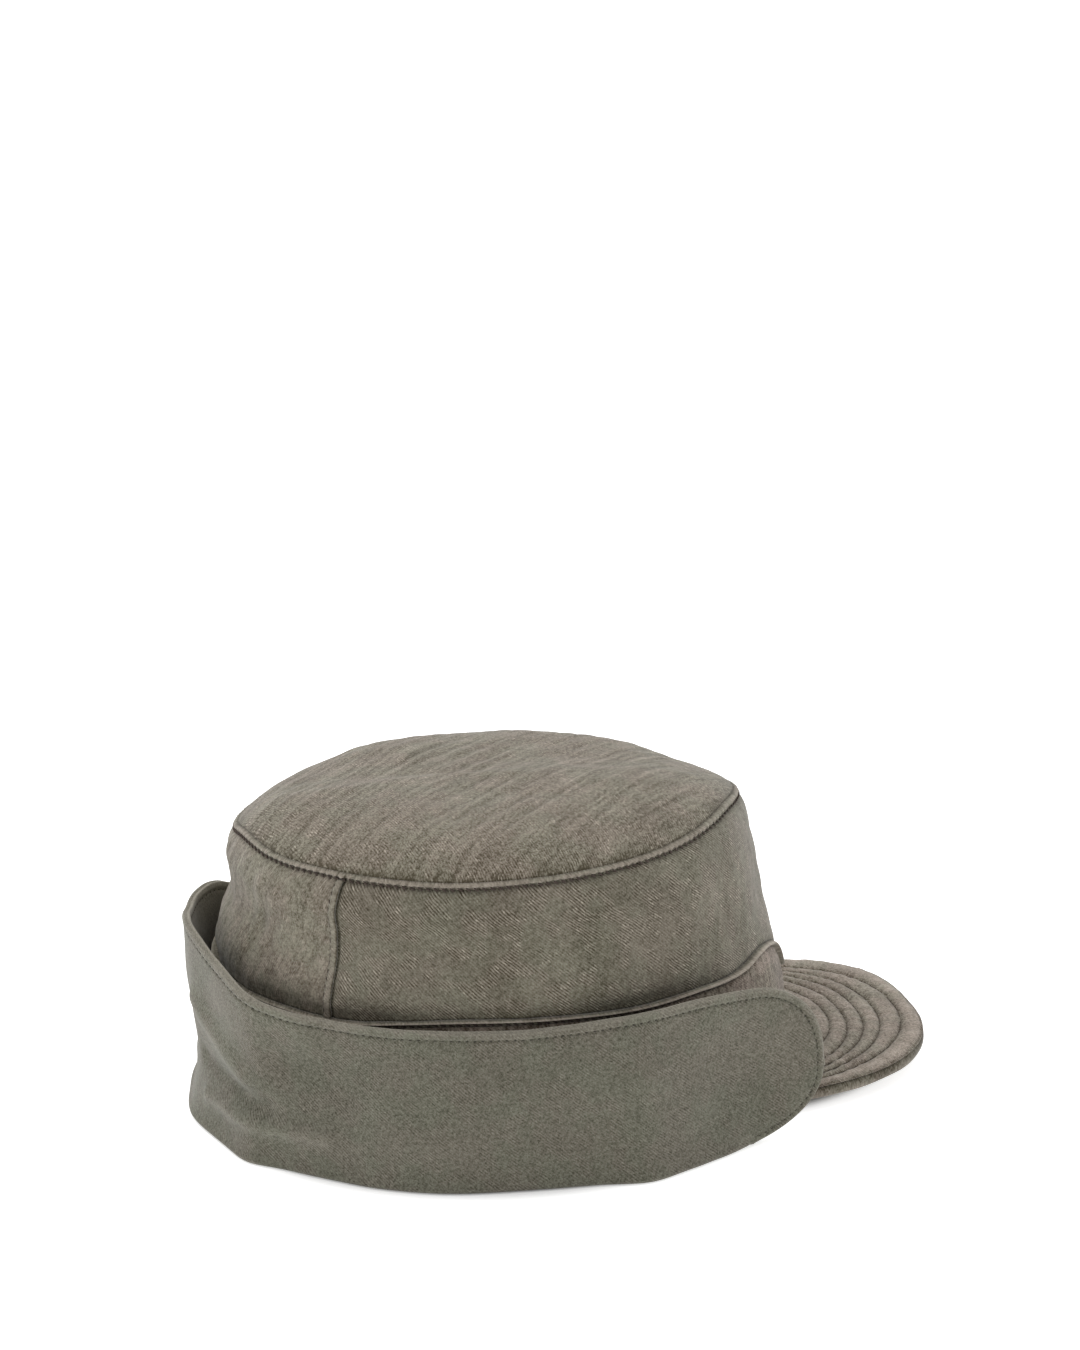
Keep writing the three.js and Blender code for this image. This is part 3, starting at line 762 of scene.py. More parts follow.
# The ridges between the stitches get a painted highlight, partly wear. The seam, the holes and
# both sides of a bump get painted shade.
wear_and_painted_light = (0.14 + 0.26 * (1 - pull)) * hump(share - 0.6, 0.28) - 0.45 * hump(share - 1, 0.08)
wear_and_painted_light = wear_and_painted_light - 0.2 * hump(share - 0.05, 0.12) * pull
wear_and_painted_light = wear_and_painted_light - 0.8 * (hump(aside - STRIP_SIDE, 0.35) + hump(aside + STRIP_SIDE, 0.35))
piece = cloth("top_welt_cloth", outer, inner, cloth_map(wide_angle, height), seam_twill, ring=True, wear_and_painted_light=wear_and_painted_light)
sew_on(piece, "seam_twill", "top_welt")
angle = np.linspace(0, 360, 1441)[:-1]
height = top_seam(angle) - TOP_WELT + TOP_STITCH_UP
path, inside = [wall_point(angle, height, out) for out in (TOP_STITCH_OUT, INSIDE)]
topstitch("top_welt_stitches", path, facing_from(path, inside), "seam_twill", closed=True, long=2.3,
          thick=0.75, slant=-0.6)

# The lower seam
# The side wall is sewn to the head band here. The folded edge stands out as a narrow bead over a
# row of stitches.
FRONT_STAND = 0.65  # how far the bead stands out more over the peak
FRONT_SPREAD = 26  # and over how many degrees either side
LOWER_STITCH_OUT = -0.38


def bead_foot(angle):
    """Where the bead begins, as a share of the way up from the stitches: it is thicker in front."""
    return 0.5 - 0.4 * front_share(angle)


def lower_welt_out(angle, share):
    """How far the bead stands out, from the stitches under it at 0 to the panel above at 1."""
    front = front_share(angle)
    start = bead_foot(angle)
    lip = np.clip((share - start) / (1 - start), 0, 1)
    puff = (1.15 + 0.5 * front) * np.sin(math.pi * lip) ** 0.75
    stitched = 0.35 * needle_holes(angle, lower_seam) * hump(share - 0.25, 0.2) * (1 - front)
    return puff - 0.45 - stitched + FRONT_STAND * hump(turned(angle), FRONT_SPREAD)


def across_seam(angle, across, out):
    """A point near the lower seam: so far up across its run, and so far out of the cloth, in mm."""
    step = 0.2
    middle = wall_point(angle, lower_seam(angle))
    along = wall_point(angle + step, lower_seam(angle + step)) - middle
    along = along / np.linalg.norm(along, axis=-1, keepdims=True)
    outwards = wall_point(angle, lower_seam(angle), 1.0) - middle
    outwards = outwards - (outwards * along).sum(-1, keepdims=True) * along
    outwards = outwards / np.linalg.norm(outwards, axis=-1, keepdims=True)
    upwards = np.cross(outwards, along)
    return middle + upwards * np.asarray(across)[..., None] + outwards * np.asarray(out)[..., None]


angle = np.linspace(0, 360, 1081)[:, None]
share = np.linspace(0, 1, 15)[None, :]
wide_angle = np.broadcast_to(angle, (len(angle), share.shape[1]))
across = np.broadcast_to(LOWER_WELT * (share - 0.5), wide_angle.shape)
outer = across_seam(wide_angle, across, lower_welt_out(wide_angle, share))
inner = across_seam(wide_angle, across, np.full(across.shape, -PANEL - SIDE_HOLLOW - 0.4))
uv = cloth_map(wide_angle, lower_seam(wide_angle) + across)
bead_highlight_and_wear = 0.55 + 0.35 * front_share(wide_angle)
# The bead gets a painted highlight along its middle, partly wear, and the stitches and the seam
# get painted shade.
wear_and_painted_light = bead_highlight_and_wear * hump(share - 0.76, 0.2) - 0.4 * hump(share - bead_foot(wide_angle) + 0.2, 0.2)
wear_and_painted_light = wear_and_painted_light - 0.5 * hump(share - 1, 0.07)
piece = cloth("lower_welt_cloth", outer, inner, uv, seam_twill, ring=True, wear_and_painted_light=wear_and_painted_light)
sew_on(piece, "seam_twill", "lower_welt")
angle = np.linspace(0, 360, 1441)[:-1]
across = LOWER_WELT * (-0.28 - 0.17 * front_share(angle))
path, inside = [across_seam(angle, across, np.full(angle.shape, out)) for out in (LOWER_STITCH_OUT, INSIDE)]
topstitch("lower_welt_stitches", path, facing_from(path, inside), "seam_twill", closed=True, long=2.3,
          thick=0.65, slant=-0.35)

# The head band
# A doubled band of the same twill that grips the head, sewn to the side wall along its upper edge.
# The peak and the ear flap are sewn to its lower edge, which rises over the peak.
BAND = 2.2
BAND_STAND = 0.2  # how far it follows the bead out over the peak
# The height of its lower edge, by the angle from the front either way.
BAND_FOOT = np.array([[0, 8.6], [30, 7.8], [48, 5.0], [62, 0.8], [70, 0.0], [180, 0.0]])
band_twill = twill("band_twill", (116, 105, 92), ribs=0.12, flecks=0.6, nap=2.6, streaks=1.3,
                   streak_rise=84, streak_width=1.8)
angle = np.linspace(0, 360, 361)[:, None]
rise = np.linspace(0, 1, 37)[None, :]
foot = np.maximum(row_at(BAND_FOOT, np.abs(turned(angle)))[..., 1], 0)
high = lower_seam(angle) - LOWER_WELT / 2 - GAP
height = foot + (high - foot) * rise
wide_angle = np.broadcast_to(angle, height.shape)
place = wall_point(wide_angle, height)
# It is uneven and a little rippled, and it is drawn in at the seam.
relief = 0.3 * waves(place, 24, 31) + 0.15 * upright_ripples(wide_angle, height, 5.0, 32)
relief = relief - 0.35 * hump(height - high, 1.2) + BAND_STAND * hump(turned(wide_angle), FRONT_SPREAD)
outer = wall_point(wide_angle, height, relief)
inner = wall_point(wide_angle, height, relief - BAND)
# Painted light: the band just under the seam is painted paler where the flap shades it, and a thin painted
# shade runs along the seam.
wear_and_painted_light = 0.2 * hump(height - high + 3.0, 3.0) - 0.15 * hump(height - high, 0.7)
piece = cloth("head_band_cloth", outer, inner, cloth_map(wide_angle, height), band_twill, ring=True,
              wear_and_painted_light=wear_and_painted_light)
sew_on(piece, "crown_twill", "head_band")

# The peak
# Two layers of twill over a soft stiffener, quilted together by five nested rows of stitches and
# turned at the rim, where the under cloth shows as a lip.
PEAK_TOP = 1.5  # thickness of the top cloth
PEAK_UNDER = 2.2  # and of the filling with the under cloth
PEAK_ROOT = 69.7  # from the middle of the head ahead to where the rim's curve begins
PEAK_REACH = 79.7  # and on from there to its tip
PEAK_HALF = 60.8  # half its width, on the left
# The peak hangs a little to the wearer's left, and its right side is squarer. Each side is half a
# superellipse, where 2 is an ellipse and more is squarer.
PEAK_SQUARE_LEFT = 2.72
PEAK_SQUARE_RIGHT = 2.8
PEAK_RIGHT = 0.945  # width of the right half, as a share of the left one
PEAK_SWAY = 3.4  # of its tip to the left
PEAK_HEIGHT = 12.6
PEAK_ARCH = 0.00095  # how fast it falls away to both sides
PEAK_SPREAD = (47, -42)  # angles where its root ends, left and right
PEAK_SWEEP = 1.5  # how far round each side the rim runs, in radians
# The stitched rows, from the rim in: how far ahead they reach, and half their width.
PEAK_ROWS = [(73.8, 55.8), (65.8, 53.0), (59.5, 50.2), (53.4, 47.4), (47.6, 39.5)]
ROW_ROUND = 0.45  # how much rounder the rows are than the rim
ROW_RIGHT = 0.975  # and the width of their right halves
ROW_SWEEP = 1.46
ROW_ENDS = 12  # how far ahead of the root their stitches begin
PUFF = 1.2  # how deep the rows are drawn in between the padded channels
STITCH_DEEP = 0.96  # how deep the stitches lie, as a share of that
peak_twill = twill("peak_twill", (122, 113, 100), rise=30, ribs=0.06, flecks=0.8, nap=2.4, grain=0.8,
                   mottle=0.7)
under_twill = twill("under_twill", (114, 107, 93), rise=30, ribs=0.1, flecks=0.3, nap=1.8)


def even_steps(line, step):
    """The same line with its points an even step apart, in mm."""
    run = run_along(line)
    at = np.linspace(0, run[-1], round(run[-1] / step) + 1)
    return np.stack([np.interp(at, run, line[:, k]) for k in range(line.shape[1])], -1)


def peak_curve(reach, half, sweep, rounder=0.0, right=PEAK_RIGHT):
    """Plan of a rounded row round the peak, as far ahead and aside of its root."""
    turn = np.linspace(sweep, -sweep, 4001)
    power = 2 / (np.where(turn > 0, PEAK_SQUARE_LEFT, PEAK_SQUARE_RIGHT) - rounder)
    wide = half * np.where(turn > 0, 1, right)
    ahead = reach * np.abs(np.cos(turn)) ** power
    x = wide * np.sign(turn) * np.abs(np.sin(turn)) ** power + PEAK_SWAY * ahead / PEAK_REACH
    return np.stack([x, HEAD_MIDDLE - PEAK_ROOT - ahead], -1)


def nearest(points, line):
    """Distance from each point of a grid to a line through points, and how far along it that is."""
    flat = points.reshape(-1, 2)
    best = np.full(len(flat), 1e9)
    along = np.zeros(len(flat))
    run = run_along(line)
    for k in range(len(line) - 1):
        step = line[k + 1] - line[k]
        share = np.clip(((flat - line[k]) @ step) / (step @ step), 0, 1)
        away = np.linalg.norm(flat - line[k] - share[:, None] * step, axis=-1)
        closer = away < best
        best[closer] = away[closer]
        along[closer] = run[k] + share[closer] * (run[k + 1] - run[k])
    return best.reshape(points.shape[:-1]), along.reshape(points.shape[:-1])


ACROSS, UP = 316, 134  # columns and rows of the mesh
SIDES_FINER = 0.07  # how much closer the columns lie at the sides, where the rows run along them
rim = even_steps(peak_curve(PEAK_REACH, PEAK_HALF, PEAK_SWEEP), 0.2)
at = np.linspace(0, 1, ACROSS + 1)
at = at - SIDES_FINER * np.sin(math.tau * at)
rim = rim[(at * (len(rim) - 1)).round().astype(int)]
root_angle = np.linspace(*PEAK_SPREAD, ACROSS + 1)
root = wall_point(root_angle, np.full(root_angle.shape, PEAK_HEIGHT), GAP)[:, None, :2]
out_share = 1 - (1 - np.linspace(0, 1, UP + 1)[None, :, None]) ** 1.25
plan = root + (rim[:, None] - root) * out_share
from_rim, round_rim = nearest(plan, rim)
crown = PEAK_HEIGHT - PEAK_ARCH * plan[..., 0] ** 2
channel_spot = np.stack([round_rim, 0.25 * from_rim], -1)
relief = 0.1 * waves(plan, 15, 41) + 0.03 * waves(plan, 4.5, 42) + 0.1 * waves(channel_spot, 6.0, 44)
wear_and_painted_light = 0.09 * waves(channel_spot, 6.5, 45) + 0.18
row_lines = []
for reach, half in PEAK_ROWS:
    row_line = even_steps(peak_curve(reach, half, ROW_SWEEP, ROW_ROUND, ROW_RIGHT), 0.6)
    row_lines.append(row_line)
    away = nearest(plan, row_line)[0]
    # Each row draws the cloth into a narrow groove in a wider hollow, with painted shade along the
    # groove.
    relief = relief - 0.5 * PUFF * (hump(away, 0.75) + hump(away, 2.1))
    wear_and_painted_light = wear_and_painted_light - 0.55 * hump(away, 0.6) - 0.1 * hump(away, 1.6)
# The rim rolls over, with a painted highlight behind its edge and painted shade along the seam.
top_face = crown + relief - 0.5 * hump(from_rim, 0.9) - 0.25 * hump(from_rim, 2.2)
wear_and_painted_light = wear_and_painted_light + 0.35 * hump(from_rim - 2.8, 1.8) - 0.5 * hump(from_rim, 0.4)
outer = np.concatenate([plan, top_face[..., None]], -1)
inner = np.concatenate([plan, (crown - PEAK_TOP)[..., None]], -1)
RIM_EDGE = [(0.3, 0.12), (0.55, 0.35), (0.5, 0.65), (0.15, 0.9)]
piece = cloth("peak_top_cloth", outer, inner, plan / 1000, peak_twill, edge=RIM_EDGE, wear_and_painted_light=wear_and_painted_light)
sew_on(piece, "peak_twill", "peak_top")
for number, row_line in enumerate(row_lines):
    row_line = row_line[row_line[:, 1] < HEAD_MIDDLE - PEAK_ROOT - ROW_ENDS]
    level = PEAK_HEIGHT - PEAK_ARCH * row_line[:, 0] ** 2 - STITCH_DEEP * PUFF
    path = np.concatenate([row_line, level[:, None]], -1)
    up_way = np.tile([0.0, 0.0, 1.0], (len(path), 1))
    topstitch(f"peak_row_{number + 1}", path, up_way, "peak_twill", long=2.6, thick=0.3)

# The under cloth needs only every other point. Its rim stands out under the seam as a lip.
plan, crown, from_rim = plan[::2, ::2], crown[::2, ::2], from_rim[::2, ::2]
under_face = crown - PEAK_TOP - 0.1 - 0.1 * hump(from_rim, 0.6)
lower_face = crown - PEAK_TOP - GAP - PEAK_UNDER - 1.5 * hump(from_rim, 4.0) + 0.1 * waves(plan, 18, 43)
outer = np.concatenate([plan, under_face[..., None]], -1)
inner = np.concatenate([plan, lower_face[..., None]], -1)
LIP_EDGE = [(0.15, 0.02), (0.5, 0.12), (0.8, 0.3), (0.85, 0.55), (0.7, 0.78), (0.35, 0.94)]
# Painted shade darkens the under cloth's upper face at the rim, under the seam.
wear_and_painted_light = -0.45 * hump(from_rim, 0.5)
piece = cloth("peak_under_cloth", outer, inner, plan / 1000, under_twill, edge=LIP_EDGE, wear_and_painted_light=wear_and_painted_light)
sew_on(piece, "peak_twill", "peak_underside")

# The ear flap
# One long doubled piece of softer twill, sewn inside the band's lower edge and folded up round the
# sides and the back. Its free edge is turned and topstitched.
FLAP = 2.6  # thickness of both its layers
# From the middle of the back to the front end of one side: how far forward and aside its foot is,
# how far its top leans out, how far its middle is drawn in, and how far it is turned in below.
FLAP_SECTIONS = np.array([
    [-115, 0, 1.0, 3.2, 14],
    [-111.8, 18, 1.0, 3.2, 14],
    [-104.2, 41, 0.5, 3.0, 14],
    [-93.0, 53, 0.5, 2.0, 14],
    [-80.0, 65, -1.0, 2.0, 14],
    [-65.0, 77, -3.0, 1.5, 14],
    [-44.0, 87, -5.0, 1.0, 14],
    [-20.0, 91.5, -5.5, 0.5, 14],
    [6.0, 94.5, -6.0, 0.5, 14],
    [24.5, 96.5, -7.0, 0.5, 14],
    [40.0, 91.6, -6.0, 0.5, 12],
    [52.5, 86, -4.5, 0.5, 8],
    [67.0, 79.5, -3.0, 0.0, 4],
    [81.0, 75.5, -2.0, 0.0, 3],
    [93.5, 72.5, -1.0, 0.0, 3],
])
# How high it stands, by the distance round its foot from the middle of the back. Places on the
# wearer's left are positive.
FLAP_HIGH = np.array([
    [-262, 55.9],
    [-248, 55.9],
    [-240, 56.2],
    [-233, 56.6],
    [-224, 57.6],
    [-211, 58.3],
    [-195, 58.3],
    [-178, 57.5],
    [-164, 56.2],
    [-150, 55.4],
    [-136, 55.5],
    [-120, 56.3],
    [-101, 56.7],
    [-82, 57.0],
    [-70, 57.5],
    [-60, 58.4],
    [-51, 59.8],
    [-45, 61.4],
    [-38, 63.4],
    [-30, 65.4],
    [-21, 67.4],
    [-9, 70.4],
    [0, 71.7],
    [6, 71.8],
    [13, 70.4],
    [20, 68.3],
    [27, 66.7],
    [34, 66.2],
    [44, 66.6],
    [51.5, 66.8],
    [57.6, 65.4],
    [63.5, 62.8],
    [72, 60.5],
    [85, 58.8],
    [100, 57.6],
    [120, 56.6],
    [140, 56.0],
    [160, 56.5],
    [180, 58.0],
    [200, 59.0],
    [215, 58.9],
    [230, 57.5],
    [243, 56.2],
    [262, 55.9],
])
FLAP_SKEW = 0.03  # how far the whole flap is turned about the head
# Its front ends are rounded: how far along and up the upper and lower corners reach.
CORNER_TOP = (27, 27)
CORNER_FOOT = (42, 23)
CORNER_ROUND = 2.2  # 2 is an ellipse, and more is squarer
WAIST_LOW = 0.6  # less than 1 puts the drawn-in waist below half height
FOOT_ROUND = 1.8  # outer radius of the fold along the floor
FOOT_INSIDE = 0.6  # and its inner radius
BAND_GAP = 0.9
# Soft folds: from a place round the flap and a height, to another; how wide, and how far out.
FLAP_FOLDS = [
    (-12, 13, -75, 15.5, 3.4, 2.3),
    (-8, 26, -50, 20, 4.0, -1.9),
    (-4, 46, -36, 30, 4.6, 1.8),
    (-55, 40, -80, 33, 8.0, -1.2),
    (-100, 20, -125, 17, 6.0, 0.5),
    (-150, 12, -185, 16, 6.0, 0.5),
    (-205, 30, -235, 24, 9.0, -0.5),
    (30, 14, 80, 17, 4.5, 0.9),
    (60, 45, 90, 30, 7.0, -0.6),
    (120, 22, 160, 15, 6.0, 0.6),
    (200, 34, 232, 26, 9.0, -0.5),
]
# Where the fold along the floor turns a corner: place, how wide, how far out.
FOOT_CORNERS = [(-43, 9, 1.3), (-188, 11, 0.9), (52, 10, 0.9), (178, 12, 0.9)]
EDGE_STITCH = 2.4  # from the free edge to its stitches
FREE_FROM = 1.2  # how far off the floor the lower edge of an end counts as free
FAR_AWAY = 50.0  # stands for the distance from the free edge where the cloth is turned in
flap_twill = twill("flap_twill", (99.5, 96.5, 82.5), rise=-38, ribs=0.15, flecks=0.4, nap=2.0, grain=0.8,
                   lumps=0.05, mottle=0.25)
flap_thread = thread_finish("flap_thread", shade(44, 40, 33), shade(66, 62, 52))
mirrored = FLAP_SECTIONS[1] * [1, -1, 1, 1, 1]
sections = np.vstack([mirrored, FLAP_SECTIONS])
places = run_along(sections[:, :2])
flap_table = np.column_stack([places - places[1], sections])
FLAP_HALF = flap_table[-1, 0]


def corner_drop(distance, corner):
    """How far a rounded corner takes an edge back, at a distance from the end of the flap."""
    long, high = corner
    share = np.clip(1 - distance / long, 0, 1)
    return high * (1 - np.sqrt(1 - share**CORNER_ROUND))


def flap_edges(place):
    """The heights of the flap's free edge and of its foot."""
    to_end = FLAP_HALF - np.abs(place)
    high = row_at(FLAP_HIGH, place)[..., 1] - corner_drop(to_end, CORNER_TOP)
    return high, corner_drop(to_end, CORNER_FOOT)


def flap_foot(place):
    """The foot in plan, with the lean, the waist and the turned-in width there."""
    _, forward, side, lean, waist, tuck = np.moveaxis(row_at(flap_table, np.abs(place)), -1, 0)
    x = np.sign(place) * side
    return np.stack([x, -forward - FLAP_SKEW * x], -1), lean, waist, tuck


def flap_out(place):
    """Unit directions straight out from the flap's foot."""
    small = 0.05
    before = flap_foot(np.clip(place + small, -FLAP_HALF, FLAP_HALF))[0]
    after = flap_foot(np.clip(place - small, -FLAP_HALF, FLAP_HALF))[0]
    way = np.stack([after[..., 1] - before[..., 1], before[..., 0] - after[..., 0]], -1)
    return way / np.linalg.norm(way, axis=-1, keepdims=True)


def room_to_band(foot, way):
    """How far inwards a point outside the band is from it, in a direction."""
    _, front, back, side = WALL[0]
    long = (front + back) / 2
    p = np.stack([foot[..., 0] / side, (foot[..., 1] + (front - back) / 2) / long], -1)
    d = np.stack([way[..., 0] / side, way[..., 1] / long], -1)
    a = (d**2).sum(-1)
    b = (p * d).sum(-1)
    c = (p**2).sum(-1) - 1
    return (b - np.sqrt(np.maximum(b**2 - a * c, 0))) / a


def flap_relief(place, height):
    """How far the upright part stands out from its plain shape."""
    spot = np.stack([place, height], -1)
    relief = 0.45 * waves(spot, 48, 51) + 0.16 * waves(spot, 17, 52)
    for a_place, a_height, b_place, b_height, wide, out in FLAP_FOLDS:
        run, climb = b_place - a_place, b_height - a_height
        share = ((place - a_place) * run + (height - a_height) * climb) / (run**2 + climb**2)
        share = np.clip(share, 0, 1)
        away = np.hypot(place - a_place - share * run, height - a_height - share * climb)
        relief = relief + out * hump(away, wide)
    return relief


def flap_push(place, height, climb):
    """How far the upright part stands out from the foot, with its folds and corners."""
    lean, waist = flap_foot(place)[1:3]
    corners = sum(out * hump(place - at, wide) for at, wide, out in FOOT_CORNERS)
    plain = lean * climb - waist * np.sin(math.pi * climb**WAIST_LOW) + corners * (1 - climb) ** 3
    return plain + flap_relief(place, height) * np.clip(climb * 6, 0, 1)


def flap_point(place, height, out=0.0):
    """A point of the flap's outer face over its fold."""
    high_edge, low_edge = flap_edges(place)
    climb = np.clip((height - low_edge - FOOT_ROUND) / (high_edge - low_edge - FOOT_ROUND), 0, 1)
    plan = flap_foot(place)[0] + flap_out(place) * (flap_push(place, height, climb) + out)[..., None]
    return np.concatenate([plan, height[..., None]], -1) + [0, HEAD_MIDDLE, 0]


dense = np.linspace(0, FLAP_HALF, 20001)
edges_run = run_along(np.stack([dense, flap_edges(dense)[1]], -1))
columns = np.interp(np.linspace(0, edges_run[-1], 241), edges_run, dense)
place = np.concatenate([columns[::-1], -columns[1:]])[:, None]
high_edge, low_edge = flap_edges(place)
foot, _, _, tuck = flap_foot(place)
way = flap_out(place)
tuck = np.maximum(np.minimum(room_to_band(foot, way) - BAND_GAP, tuck), FLAP + FOOT_INSIDE + GAP)
TUCK_ROWS, FOOT_ROWS, RISE_ROWS = 8, 6, 78
turn_in = np.linspace(1, 0, TUCK_ROWS + 1)[None, :-1]
bend = np.linspace(0, math.pi / 2, FOOT_ROWS + 1)[None, :]
climb = 1 - (1 - np.linspace(0, 1, RISE_ROWS + 1)[None, 1:]) ** 1.35
corner_out = sum(out * hump(place - at, wide) for at, wide, out in FOOT_CORNERS)


def flap_side(moved, radius):
    """One face of the flap, moved in from the outer face, with this radius at its foot."""
    tucked = corner_out * (1 - turn_in) - (radius + moved) - turn_in * (tuck - radius - moved)
    bent = corner_out + radius * (np.sin(bend) - 1) - moved
    start = low_edge + moved + radius
    height = start + (high_edge - start) * climb
    upright = flap_push(np.broadcast_to(place, height.shape), height, climb) - moved
    away = np.concatenate([tucked, bent, upright], 1)
    heights = np.concatenate([0 * tucked + low_edge + moved,
                              low_edge + moved + radius * (1 - np.cos(bend)), height], 1)
    plan = foot + way * away[..., None]
    return np.concatenate([plan, heights[..., None]], -1) + [0, HEAD_MIDDLE, 0]


outer = flap_side(0.0, FOOT_ROUND)
inner = flap_side(FLAP, FOOT_INSIDE)
# The free edge on the flat cloth: up from the foot at one end, along the top, and down the other.
lower = np.stack([dense, flap_edges(dense)[1]], -1)
lower = lower[lower[:, 1] > FREE_FROM]
end = np.stack([[FLAP_HALF, FLAP_HALF], [lower[-1, 1], flap_edges(dense[-1:])[0][0]]], -1)
upper = np.stack([dense, flap_edges(dense)[0]], -1)[::-1]
upper_right = np.stack([-dense, flap_edges(-dense)[0]], -1)
free_edge = np.concatenate([lower, end, upper, upper_right, (end * [-1, 1])[::-1], (lower * [-1, 1])[::-1]])
free_edge = even_steps(free_edge, 1.0)
sheet = np.stack([np.broadcast_to(place, outer.shape[:-1]), outer[..., 2]], -1)
from_edge, round_edge = nearest(sheet, free_edge)
upright = np.arange(outer.shape[1])[None, :] > TUCK_ROWS + 1
from_edge = np.where(upright, from_edge, FAR_AWAY)
holes = holes_at(round_edge / STITCH)
# The turned edge is thicker and painted paler, partly wear and partly painted highlight, and the
# stitches draw in a groove with painted shade on both faces.
relief = 0.3 * hump(from_edge - 1.1, 0.8) - (0.25 + 0.2 * holes) * hump(from_edge - EDGE_STITCH, 0.45)
normal = outer - inner
normal = normal / np.linalg.norm(normal, axis=-1, keepdims=True)
outer = outer + normal * relief[..., None]
inner = inner - normal * relief[..., None] * 0.7
stitch_groove_shade = (0.06 + 0.22 * holes) * hump(from_edge - EDGE_STITCH, 0.5)
wear_and_painted_light = 0.45 * hump(from_edge, 0.5) + 0.15 * hump(from_edge - 1.1, 0.7) - stitch_groove_shade
# The folds are painted a little paler where they stand out and darker where they sink: painted light and
# shade.
wear_and_painted_light = wear_and_painted_light + 0.06 * flap_relief(sheet[..., 0], sheet[..., 1]) * upright
# The inside face is painted much paler all over, as painted light where little light reaches, with a painted
# highlight by its edge and painted shade at the stitches.
inside_wear_and_painted_light = 0.8 * upright + 0.3 * hump(from_edge, 1.2) - stitch_groove_shade
FLAP_RIM = [(0.3, 0.04), (0.5, 0.2), (0.3, 0.36), (0.0, 0.46), (0.0, 0.54), (0.3, 0.64), (0.5, 0.8),
            (0.3, 0.96)]
piece = cloth("ear_flap_cloth", outer, inner, sheet * [-1, 1] / 1000, flap_twill, edge=FLAP_RIM, wear_and_painted_light=wear_and_painted_light,
              inside_wear_and_painted_light=inside_wear_and_painted_light)
sew_on(piece, "flap_twill", "ear_flap")

# Its topstitches run parallel to the free edge, through to the inside.
run = run_along(free_edge)
at = np.linspace(2, run[-1] - 2, 1400)
reach = 2.5
ahead, behind = [np.stack([np.interp(at + step, run, free_edge[:, k]) for k in (0, 1)], -1)
                 for step in (reach, -reach)]
heading = (ahead - behind) / np.linalg.norm(ahead - behind, axis=-1, keepdims=True)
row = np.stack([np.interp(at, run, free_edge[:, k]) for k in (0, 1)], -1)
row = row + np.stack([-heading[:, 1], heading[:, 0]], -1) * EDGE_STITCH
row = even_steps(row[row[:, 1] > FOOT_ROUND + 1], 0.7)
OUTER_STITCHES = -0.22  # from the outer face out
INNER_STITCHES = 0.3 - FLAP
for name, out in (("flap_stitches_outside", OUTER_STITCHES), ("flap_stitches_inside", INNER_STITCHES)):
    path = flap_point(row[:, 0], row[:, 1], out)
    facing = facing_from(path, flap_point(row[:, 0], row[:, 1], -FLAP / 2))
    topstitch(name, path, facing, "flap_twill", long=1.1, thick=0.5, thread=flap_thread)

# The table, the light and the camera
# A plain pale surface under soft light from above, from ahead and from behind. The camera looks
# down a little from behind the wearer's right side.
CAMERA_AWAY = 1.84  # metres from the middle of the cap
CAMERA_UP = 22.51  # degrees above level
CAMERA_ROUND = (-0.9592, 0.2829)  # its direction in plan
CAMERA_LENS = 140.2
TARGET = Vector((0, 0.01675, 0.05))
TARGET_PIXEL = (509.23, 947.35)  # where the picture shows it
PHOTO = (1080, 1350)  # size of the picture
FLOOR = 12.0  # metres from its middle to its edges
FLOOR_GLOW = 0.7
WORLD_LIGHT = 0.55
# Ovals on the floor where shadows show, in metres: middle, half sizes, and where they begin and end
# to fade, as shares of the half sizes.
SHADOWS = [
    ((0.0, 0.024), (0.094, 0.101), (0.93, 1.12)),
    ((0.002, -0.053), (0.057, 0.074), (0.92, 1.05)),
]
floor_mesh = bpy.data.meshes.new("floor")
floor_corners = [(x * FLOOR, y * FLOOR, 0) for x, y in ((-1, -1), (1, -1), (1, 1), (-1, 1))]
floor_mesh.from_pydata(floor_corners, [], [(0, 1, 2, 3)])
floor_finish, floor_tree, floor_shader = new_finish("floor", 0.9)
floor_shader.inputs["Base Color"].default_value = (0.85, 0.85, 0.85, 1)
floor_shader.inputs["Specular IOR Level"].default_value = 0.1
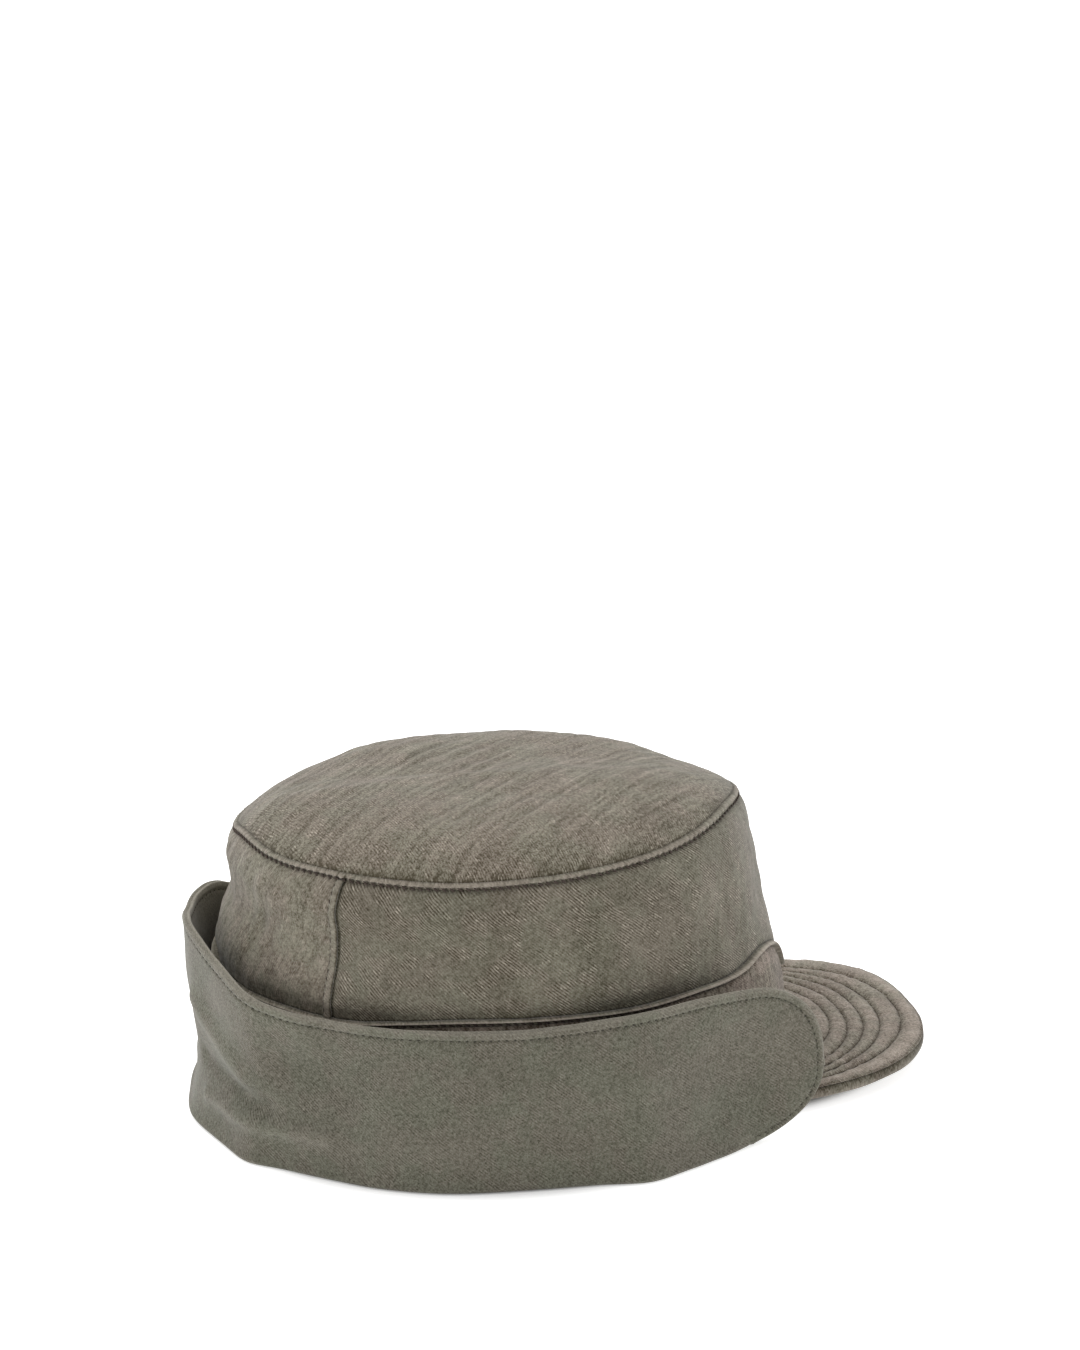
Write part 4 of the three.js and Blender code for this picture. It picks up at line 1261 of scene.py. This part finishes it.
# The floor glows outside the ovals, so that shadows show only close round the cap.
floor_place = make_node(floor_tree, "ShaderNodeTexCoord", {}, {}, 3)
ovals = []
for (x, y), (wide, long), (begins, ends) in SHADOWS:
    reach = floor_place.moved((-x, -y, 0)).vector("MULTIPLY", {1: (1 / wide, 1 / long, 0)})
    ovals.append(reach.vector("LENGTH", {}, "Value").between(begins, ends))
glow = ovals[0] * ovals[1]
floor_tree.links.new(glow.mix((0, 0, 0, 1), (1, 1, 1, 1)).socket, floor_shader.inputs["Emission Color"])
floor_shader.inputs["Emission Strength"].default_value = FLOOR_GLOW
floor_mesh.materials.append(floor_finish)
show("floor", floor_mesh)

world = bpy.data.worlds.new("studio")
world.use_nodes = True
world.node_tree.nodes["Background"].inputs["Color"].default_value = (1, 1, 1, 1)
world.node_tree.nodes["Background"].inputs["Strength"].default_value = WORLD_LIGHT
bpy.context.scene.world = world


def soft_lamp(name, towards, strength, wide):
    """Light from a direction. The wider it is, in degrees, the softer its shadows."""
    lamp = bpy.data.lights.new(name, "SUN")
    lamp.energy = strength
    lamp.angle = math.radians(wide)
    show(name, lamp).rotation_euler = (-Vector(towards)).to_track_quat("-Z", "Y").to_euler()


soft_lamp("key", towards=(0.55, 0.15, 1.2), strength=2.0, wide=60)
soft_lamp("front_side", towards=(-0.1, -1.0, 0.5), strength=0.6, wide=50)
soft_lamp("rear_side", towards=(0.15, 1.0, 0.45), strength=0.4, wide=50)

camera = bpy.data.cameras.new("camera")
camera.lens = CAMERA_LENS
camera.clip_end = 100
eye = show("camera", camera)
level = math.cos(math.radians(CAMERA_UP)) * CAMERA_AWAY
eye.location = TARGET + Vector((CAMERA_ROUND[0] * level, CAMERA_ROUND[1] * level,
                                math.sin(math.radians(CAMERA_UP)) * CAMERA_AWAY))
focal = CAMERA_LENS / camera.sensor_width * PHOTO[1]
aside = (TARGET_PIXEL[0] - PHOTO[0] / 2) / focal
below = (TARGET_PIXEL[1] - PHOTO[1] / 2) / focal
# The cap is off the middle of the picture, so the camera is turned away from it by that much.
sight = (TARGET - eye.location).to_track_quat("-Z", "Y").to_matrix()
off_middle = Vector((aside, -below, -1))
eye.rotation_euler = (sight @ off_middle.rotation_difference(Vector((0, 0, -1))).to_matrix()).to_euler()
bpy.context.scene.camera = eye
bpy.context.scene.view_settings.view_transform = "Standard"
